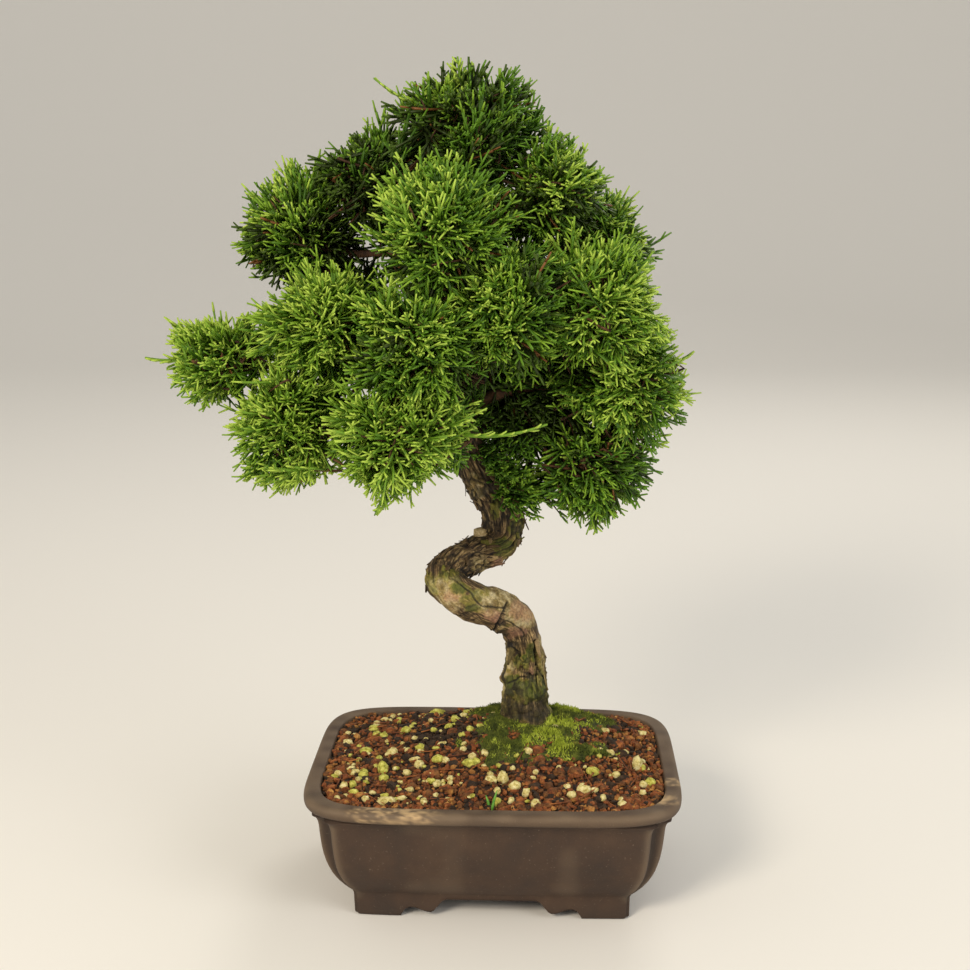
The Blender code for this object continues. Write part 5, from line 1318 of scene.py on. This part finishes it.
def insideOutline(points):
    # Even-odd rule: inside where a line to the right crosses the outline an odd number of times
    places = pixelOf(points)[..., None, :]
    here = np.array(crownOutline, float)
    after = np.roll(here, -1, axis=0)
    spans = (here[:, 1] > places[..., 1]) != (after[:, 1] > places[..., 1])
    rise = np.where(after[:, 1] == here[:, 1], 1.0, after[:, 1] - here[:, 1])
    crossing = here[:, 0] + (after[:, 0] - here[:, 0]) * (places[..., 1] - here[:, 1]) / rise
    return (spans & (places[..., 0] < crossing)).sum(axis=-1) % 2 == 1


def inHollow(points):
    # exp(-(pixels away / radius)^2) of the nearest dark hollow
    places = pixelOf(points)
    return np.max([np.exp(-((np.hypot(places[:, 0] - u, places[:, 1] - v) / radius) ** 2))
                   for u, v, radius in hollows], axis=0)


def growPlumes(number, room, tip, rng):
    # Plumes stand in tufts that end just short of the mass's reach, some further out than
    # others. They point partly away from its own middle and partly out of the whole crown, and
    # fan out from their tuft. Main twigs fork from the stem, and a finer twig, a cubic curve,
    # leaves the nearest of them for the root of each plume.
    middle, brightness = room.middle, masses[massNames[number]][5]
    inset = foliage["plumeInset"]

    def skinAt(ways):
        # How far the room reaches, how free its skin is of neighbours, the way out of the whole
        # crown from there, and how far out in the crown that is
        reach = room.reach(ways)
        bare = np.clip((reach * np.linalg.norm(ways / room.half, axis=1) - 0.5) / 0.45, 0.0, 1.0)
        return reach, bare, *crownPlace(middle + ways * reach[:, None])

    each = foliage["tuftPlumes"]
    size = (np.prod(room.half) ** (1.0 / 3.0) / foliage["tuftsAt"]) ** 2
    count, innerCount = (round(size * foliage[name]) for name in ("tufts", "innerPlumes"))
    tufts = np.repeat(evenDirections(count, rng), each, axis=0)
    stand = np.repeat(rng.uniform(*foliage["tuftStand"], count), each)
    glow = np.repeat(rng.normal(0.0, 0.12, count), each)
    fan = rng.normal(0.0, foliage["tuftSpread"], tufts.shape)
    lean = np.repeat(rng.normal(0.0, foliage["tuftLean"], (count, 3)), each, axis=0)
    ways = unit(tufts + fan)
    reach, bare, outward, depth = skinAt(ways)
    kept = (reach > inset) & ((bare > 0.4) | (depth > 0.8) | (rng.random(len(ways)) < foliage["hiddenShare"]))
    ways, reach, bare, outward = ways[kept], reach[kept], bare[kept], outward[kept]
    glow, fan = glow[kept], fan[kept]
    ends = middle + ways * (reach * stand[kept] - inset)[:, None]
    ends += outward * ((1.0 - bare) * 5.0)[:, None]
    axes = (tufts[kept] * (0.34 + 0.26 * bare)[:, None] + outward * (0.76 - 0.25 * bare)[:, None]
            + 1.7 * fan + foliage["upSweep"] * up + rng.normal(0.0, 0.12, ways.shape) + lean[kept])
    outer = 0.35 + 0.65 * bare
    # Where two masses meet at the crown's skin, plumes lean out and close the valley
    more = evenDirections(foliage["valleyPlumes"], rng)
    reach, bare, outward, depth = skinAt(more)
    valley = (bare > 0.10) & (bare < 0.85) & (depth > 0.62) & ((more * outward).sum(axis=1) > 0.1)
    more, reach, bare, outward = more[valley], reach[valley], bare[valley], outward[valley]
    lift = rng.uniform(0.0, 9.0, len(more))
    ends = np.concatenate([ends, middle + more * (reach - inset)[:, None] + outward * lift[:, None]])
    axes = np.concatenate([axes, outward + 0.35 * more + rng.normal(0.0, 0.24, more.shape)])
    ways, outer = np.concatenate([ways, more]), np.concatenate([outer, 0.3 + 0.05 * lift])
    glow = np.concatenate([glow, rng.normal(0.0, 0.07, len(more))])
    # Short dark plumes behind the tufts
    inner = evenDirections(innerCount, rng)
    within = room.reach(inner) * rng.uniform(0.45, 0.68, len(inner))
    ends = np.concatenate([ends, middle + inner * within[:, None]])
    axes = unit(np.concatenate([axes, inner + rng.normal(0.0, 0.3, inner.shape)]))
    ways, glow = np.concatenate([ways, inner]), np.concatenate([glow, np.full(len(inner), -0.12)])
    outer = np.concatenate([outer, np.zeros(len(inner))])
    # Plumes that would pass the crown's outline or its depth are drawn in to their mass's middle
    run = rng.uniform(*foliage["plumeRun"], len(ends)) * (1.0 - 0.25 * (outer == 0.0))
    draw, reach = foliage["drawIn"], foliage["tipReach"]
    drawn = middle + draw[:, None] * (ends - middle)[:, None]
    tips = drawn + reach * axes[:, None]
    inside = (insideOutline(tips) & insideOutline(drawn)
              & (abs(tips[..., 1] - foliage["depthMiddle"]) < foliage["depthHalf"])
              & insideOutline(drawn - (0.9 * run)[:, None, None] * axes[:, None]))
    ends = drawn[np.arange(len(ends)), np.argmax(inside, axis=1)]
    gloom = inHollow(ends) * ((axes * unit(np.array(cameraView["place"]) - ends)).sum(axis=1) > -0.3)
    kept = inside.any(axis=1) & (rng.random(len(ends)) > foliage["hollowThin"] * gloom)
    ends, axes, ways, outer, run = (values[kept] for values in (ends, axes, ways, outer, run))
    glow = (glow - foliage["hollowDark"] * gloom)[kept]
    bases = ends - axes * run[:, None]

    stem = tip + 0.5 * (middle - tip)
    mains = evenDirections(foliage["mains"], rng)
    mainEnds = middle + mains * (0.5 * room.reach(mains))[:, None]
    share = np.linspace(0.0, 1.0, 6)[:, None]
    bow = np.sin(np.pi * share) * rng.normal(0.0, 2.0, (len(mains), 1, 3))
    mainLines = stem + (mainEnds[:, None] - stem) * share + bow
    nearest = np.argmax(ways @ mains.T, axis=1)
    spot = np.clip(0.2 + 0.6 * rng.random(len(ways)), 0.1, 0.95) * 5.0
    low = np.minimum(spot.astype(int), 4)
    start, after = mainLines[nearest, low], mainLines[nearest, low + 1]
    start = start + (after - start) * (spot - low)[:, None]
    gap = np.linalg.norm(bases - start, axis=1)[:, None]
    early = start + 0.3 * (bases - start) + 0.15 * gap * unit(mains[nearest])
    late = bases - axes * 0.4 * gap
    fine = ((1 - share) ** 3 * start[:, None] + 3 * share * (1 - share) ** 2 * early[:, None]
            + 3 * share ** 2 * (1 - share) * late[:, None] + share ** 3 * bases[:, None])
    _, depth = crownPlace(ends)
    light = (0.55 * np.clip(depth, 0.3, 1.1) + 0.16 * axes[:, 2] + 0.30 * outer + glow + brightness
             + 0.13 * softNoise(ends, 17.0, 72) - 0.05 * axes[:, 0])
    return {"bases": bases, "ends": ends, "light": light,
            "length": rng.uniform(*foliage["shootLength"], len(ends))}, mainLines, fine


def growWoodPlumes(lines, rng):
    # Short plumes that stand along the boughs and the trunk's upper run, turned about at random
    bases, ends = [], []
    for name, line in lines.items():
        onTrunk = name == "trunk"
        low = 0.30
        if onTrunk:
            low = np.argmin(abs(line[:, 2] - foliage["trunkFrom"])) / (len(line) - 1.0)
        count = foliage["trunkPlumes"] if onTrunk else foliage["boughPlumes"]
        places = (low + (1.0 - low) * rng.random(count) ** (1.6 if onTrunk else 1.0)) * (len(line) - 1)
        root = np.stack([np.interp(places, np.arange(len(line)), line[:, axis]) for axis in range(4)], axis=1)
        along = unit(line[-1, :3] - line[0, :3])
        way = unit(rng.normal(0.0, 1.0, (count, 3)) + (0.0 if onTrunk else 0.5) * along + 0.3 * up)
        # The trunk's lowest shoots stand on its right and hang over its front
        hang = onTrunk & (root[:, 2] < foliage["hangBelow"])
        way = np.where(hang[:, None], unit(0.3 * way + (0.75, -0.65, -0.05)), way)
        bases.append(root[:, :3])
        reach = 0.8 * root[:, 3] + rng.uniform(*foliage["woodPlumeRun"], count) * (1.25 if onTrunk else 1.0)
        ends.append(root[:, :3] + way * reach[:, None])
    bases, ends = np.concatenate(bases), np.concatenate(ends)
    _, depth = crownPlace(ends)
    return {"bases": bases, "ends": ends, "light": 0.5 * depth + rng.normal(0.0, 0.05, len(ends)),
            "length": rng.uniform(8.5, 13.0, len(ends))}


def growShoots(plumes, clear, rng):
    # Shoots of many plumes at once. They leave both sides of the plume's twig in a flat spray,
    # wide near its root and narrow at its end, and curve forward: root + L (t d + b t^2 a)
    count, each = len(plumes["bases"]), foliage["shoots"]
    bases, ends = plumes["bases"], plumes["ends"]
    axis = unit(ends - bases)[:, None]
    bow = np.cross(axis[:, 0], rng.normal(0.0, 1.0, bases.shape)) * 2.0
    share = np.linspace(0.14, 1.0, each) ** 0.9
    share = np.clip(share + rng.normal(0.0, 0.02, (count, each)), 0.05, 1.0)
    root = (bases[:, None] + (ends - bases)[:, None] * share[..., None]
            + bow[:, None] * (share * (1.0 - share))[..., None] * 4.0)
    lean = math.radians(54.0) * (1.0 - share) ** 0.7 + math.radians(14.0) + rng.normal(0.0, 0.17, share.shape)
    flat = unit(up + rng.normal(0.0, 0.5, bases.shape))[:, None]
    side = unit(np.cross(axis, flat))
    other = np.cross(axis, side)
    turn = np.pi * (np.arange(each) % 2) + rng.normal(0.0, 0.9, share.shape)
    radial = np.cos(turn)[..., None] * side + 0.8 * np.sin(turn)[..., None] * other
    way = unit(np.cos(lean)[..., None] * axis + np.sin(lean)[..., None] * radial)
    length = plumes["length"][:, None] * (0.70 + 0.34 * np.sin(np.pi * (0.30 + 0.62 * share)))
    length = length * rng.uniform(0.62, 1.22, share.shape)
    # Most shoots end at the crown's outline, and about one in four stands out past it
    within = np.where(rng.random(share.shape) < foliage["strayShare"], 0.55, 0.92)
    length = np.where(insideOutline(root + (within * length)[..., None] * way), length, 0.66 * length)
    pull = unit(0.7 * axis + 0.4 * up + rng.normal(0.0, 0.2, way.shape))
    light = plumes["light"][:, None] + rng.normal(0.0, 0.05, share.shape) + 0.08 * (share - 0.7)

    def place(marks):
        marks = np.asarray(marks)[:, None]
        return (root[..., None, :] + length[..., None, None] * (marks * way[..., None, :]
                + 0.13 * marks ** 2 * pull[..., None, :])).reshape(count * each, len(marks), 3)

    free = clear(place((0.5, 1.0))).all(axis=1)
    across = np.broadcast_to(np.cross(way, side), way.shape).reshape(-1, 3)
    cords = {"body": place((-0.02, 0.38, 0.74))[free], "tip": place((0.72, 1.0))[free],
             "light": light.ravel()[free]}
    hand, forks = rng.choice([-1.0, 1.0], len(free)), []
    for number, (spot, size, chance) in enumerate(foliage["forks"]):
        grows = free & (rng.random(len(free)) < chance)
        at = place((spot, spot + 0.05))[grows]
        ahead = unit(at[:, 1] - at[:, 0])
        aside = unit(np.cross(ahead, across[grows] + rng.normal(0.0, 0.35, ahead.shape)))
        aside *= (hand[grows] * (-1.0) ** number)[:, None]
        out = math.cos(foliage["forkLean"]) * ahead + math.sin(foliage["forkLean"]) * aside
        reach = length.ravel()[grows] * size * rng.uniform(0.7, 1.25, grows.sum())
        forks.append({"tip": np.stack([at[:, 0], at[:, 0] + out * reach[:, None]], axis=1),
                      "light": light.ravel()[grows] + 0.01})
    return cords, {key: np.concatenate([fork[key] for fork in forks]) for key in forks[0]}


def shootMaterial(name, colour):
    # Scale-leaved juniper shoots: waxy cuticle with a soft gleam, knobbly where the scales overlap
    green, shader = newMaterial(name, 0.48, colour, Specular_IOR_Level=0.28)
    place = addNode(green, "ShaderNodeTexCoord").outputs["Object"]
    scales = addNode(green, "ShaderNodeTexNoise", {"Vector": place, "Scale": perMetre(0.9), "Detail": 1.0})
    gleam = addNode(green, "ShaderNodeMapRange", {"Value": scales.outputs[0], 1: 0.3, 2: 0.7,
                                                  3: 0.38, 4: 0.62})
    bump = addNode(green, "ShaderNodeBump", {"Strength": 0.5, "Distance": 0.0004,
                                             "Height": scales.outputs[0]})
    green.node_tree.links.new(gleam.outputs[0], shader.inputs["Roughness"])
    green.node_tree.links.new(bump.outputs[0], shader.inputs["Normal"])
    return green


def growLongShoots(rng):
    # Leaders that outgrow their mass: a slender bowed line with short shoots left and right
    lines, twigs = [], []
    for name, tip in longShoots:
        middle = massMiddles[massNames.index(name)]
        way = np.array(tip) - middle
        start = middle + 0.45 * way
        length = np.linalg.norm(tip - start)

        def along(share):
            return start + (tip - start) * share - up * 0.06 * length * np.sin(np.pi * share)

        lines.append(along(np.linspace(0.0, 1.0, 9)[:, None]))
        side = unit(np.cross(way, up + rng.normal(0.0, 0.2, 3)))
        for number, place in enumerate(np.arange(0.10, 0.90, 0.075)):
            out = unit(unit(way) * 0.80 + (-1.0) ** number * side * 0.55 + rng.normal(0.0, 0.14, 3))
            size = rng.uniform(4.5, 8.0) * (1.15 - 0.7 * place)
            foot = along(place)
            twigs.append((foot, foot + out * 0.5 * size, foot + out * size + 0.1 * size * up))
    return np.array(lines), np.array(twigs)


def alikeTubes(lines, radii, sides):
    # Tubes that all have the same radii along them
    return tubes(lines, np.repeat([radii], len(lines), axis=0), sides)


def makeFoliage(lines):
    # All plumes first, then their shoots sorted by light into tints, one piece for each part of
    # a tint: body, tip and fork
    rng = np.random.default_rng(limbRule["seed"])
    limbPoints = np.concatenate([np.vstack([line, 0.5 * (line[1:] + line[:-1])]) for line in lines.values()])
    grown, plumes, mainLines, fineLines = [], [], [], []
    for number, name in enumerate(massNames):
        room = Room(number, limbPoints)
        tip = lines.get(name, lines["trunk"])[-1][:3]
        some, mains, fine = growPlumes(number, room, tip, rng)
        plumes.append(some)
        grown.append(growShoots(some, room.clear, rng))
        mainLines.append(mains)
        fineLines.append(fine)
    plumes.append(growWoodPlumes(lines, rng))
    grown.append(growShoots(plumes[-1], Room(0, limbPoints).clear, rng))
    bases, ends = (np.concatenate([some[key] for some in plumes]) for key in ("bases", "ends"))
    plumeLines = np.stack([bases, 0.5 * (bases + ends), ends], axis=1)
    cords, forks = ({key: np.concatenate([pair[part][key] for pair in grown]) for key in grown[0][part]}
                    for part in (0, 1))
    mainLines, fineLines = np.concatenate(mainLines), np.concatenate(fineLines)
    print(f"plumes: {len(plumeLines)}, shoots: {len(cords['light'])}, forks: {len(forks['light'])}")
    woody = joinShapes([alikeTubes(mainLines, np.linspace(1.35, 0.75, 6), 6),
                        alikeTubes(fineLines, np.linspace(0.75, 0.50, 6), 4),
                        alikeTubes(plumeLines, (0.55, 0.5, 0.35), 3)])
    addPiece("twigs", *woody, barkMaterial("red-brown juniper twig bark", True), "bark")

    leaders, leaderTwigs = growLongShoots(rng)
    thick = foliage["cordRadius"]
    levels = np.quantile(cords["light"], foliage["tintShares"])
    dead = (rng.random(len(cords["light"])) < foliage["deadShare"]) & (cords["light"] < levels[0])
    kinds = {"Dead": -1, **{tint: number for number, tint in enumerate(tints)}}
    cordKind = np.where(dead, -1, np.searchsorted(levels, cords["light"]))
    forkKind = np.searchsorted(levels, forks["light"])
    shapes = {}
    for tint, number in kinds.items():
        for part, runs, kind, radii in (("Body", cords["body"], cordKind, (0.82, 1.0, 0.96)),
                                        ("Tip", cords["tip"], cordKind, (1.02, 0.62)),
                                        ("Fork", forks["tip"], forkKind, (0.84, 0.64))):
            chosen = runs[kind == number]
            size = thick * (1.25 if tint == "Shade" else 1.0) * rng.uniform(0.86, 1.14, (len(chosen), 1))
            shapes.setdefault(tint + part, []).append(tubes(chosen, size * np.array(radii), 3))
    shapes["BrightBody"].append(alikeTubes(leaders, np.linspace(1.0, 0.45, 9), 5))
    shapes["BrightTip"].append(alikeTubes(leaderTwigs, (0.6, 0.65, 0.4), 3))
    # Withered shoots are one piece, and no fork withers
    shapes["DeadBody"] += shapes.pop("DeadTip")
    del shapes["DeadFork"]
    colours = {tint + part: tones[part != "Body"] for tint, tones in tints.items()
               for part in ("Body", "Tip", "Fork")}
    colours["DeadBody"] = "#7a4f2a"
    for number, (key, parts) in enumerate(sorted(shapes.items())):
        label = "withered juniper shoots" if key == "DeadBody" else f"scale-leaved juniper shoots, {key}"
        piece = addPiece("shoots" + key, *joinShapes(parts), shootMaterial(label, colours[key]), "foliage")
        if number == 0:
            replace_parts(piece, *["foliage_" + name for name in masses])


print("Stage 1: camera and studio")
addCamera()
addStudio()
print("Stage 2: pot")
makePot()
print("Stage 3: soil and what lies on it")
makeSoil()
print("Stage 4: moss")
makeMoss()
print("Stage 5: trunk")
makeTrunk()
print("Stage 6: boughs")
limbLines = planLimbs()
makeBoughs(limbLines)
print("Stage 7: foliage")
makeFoliage(limbLines)
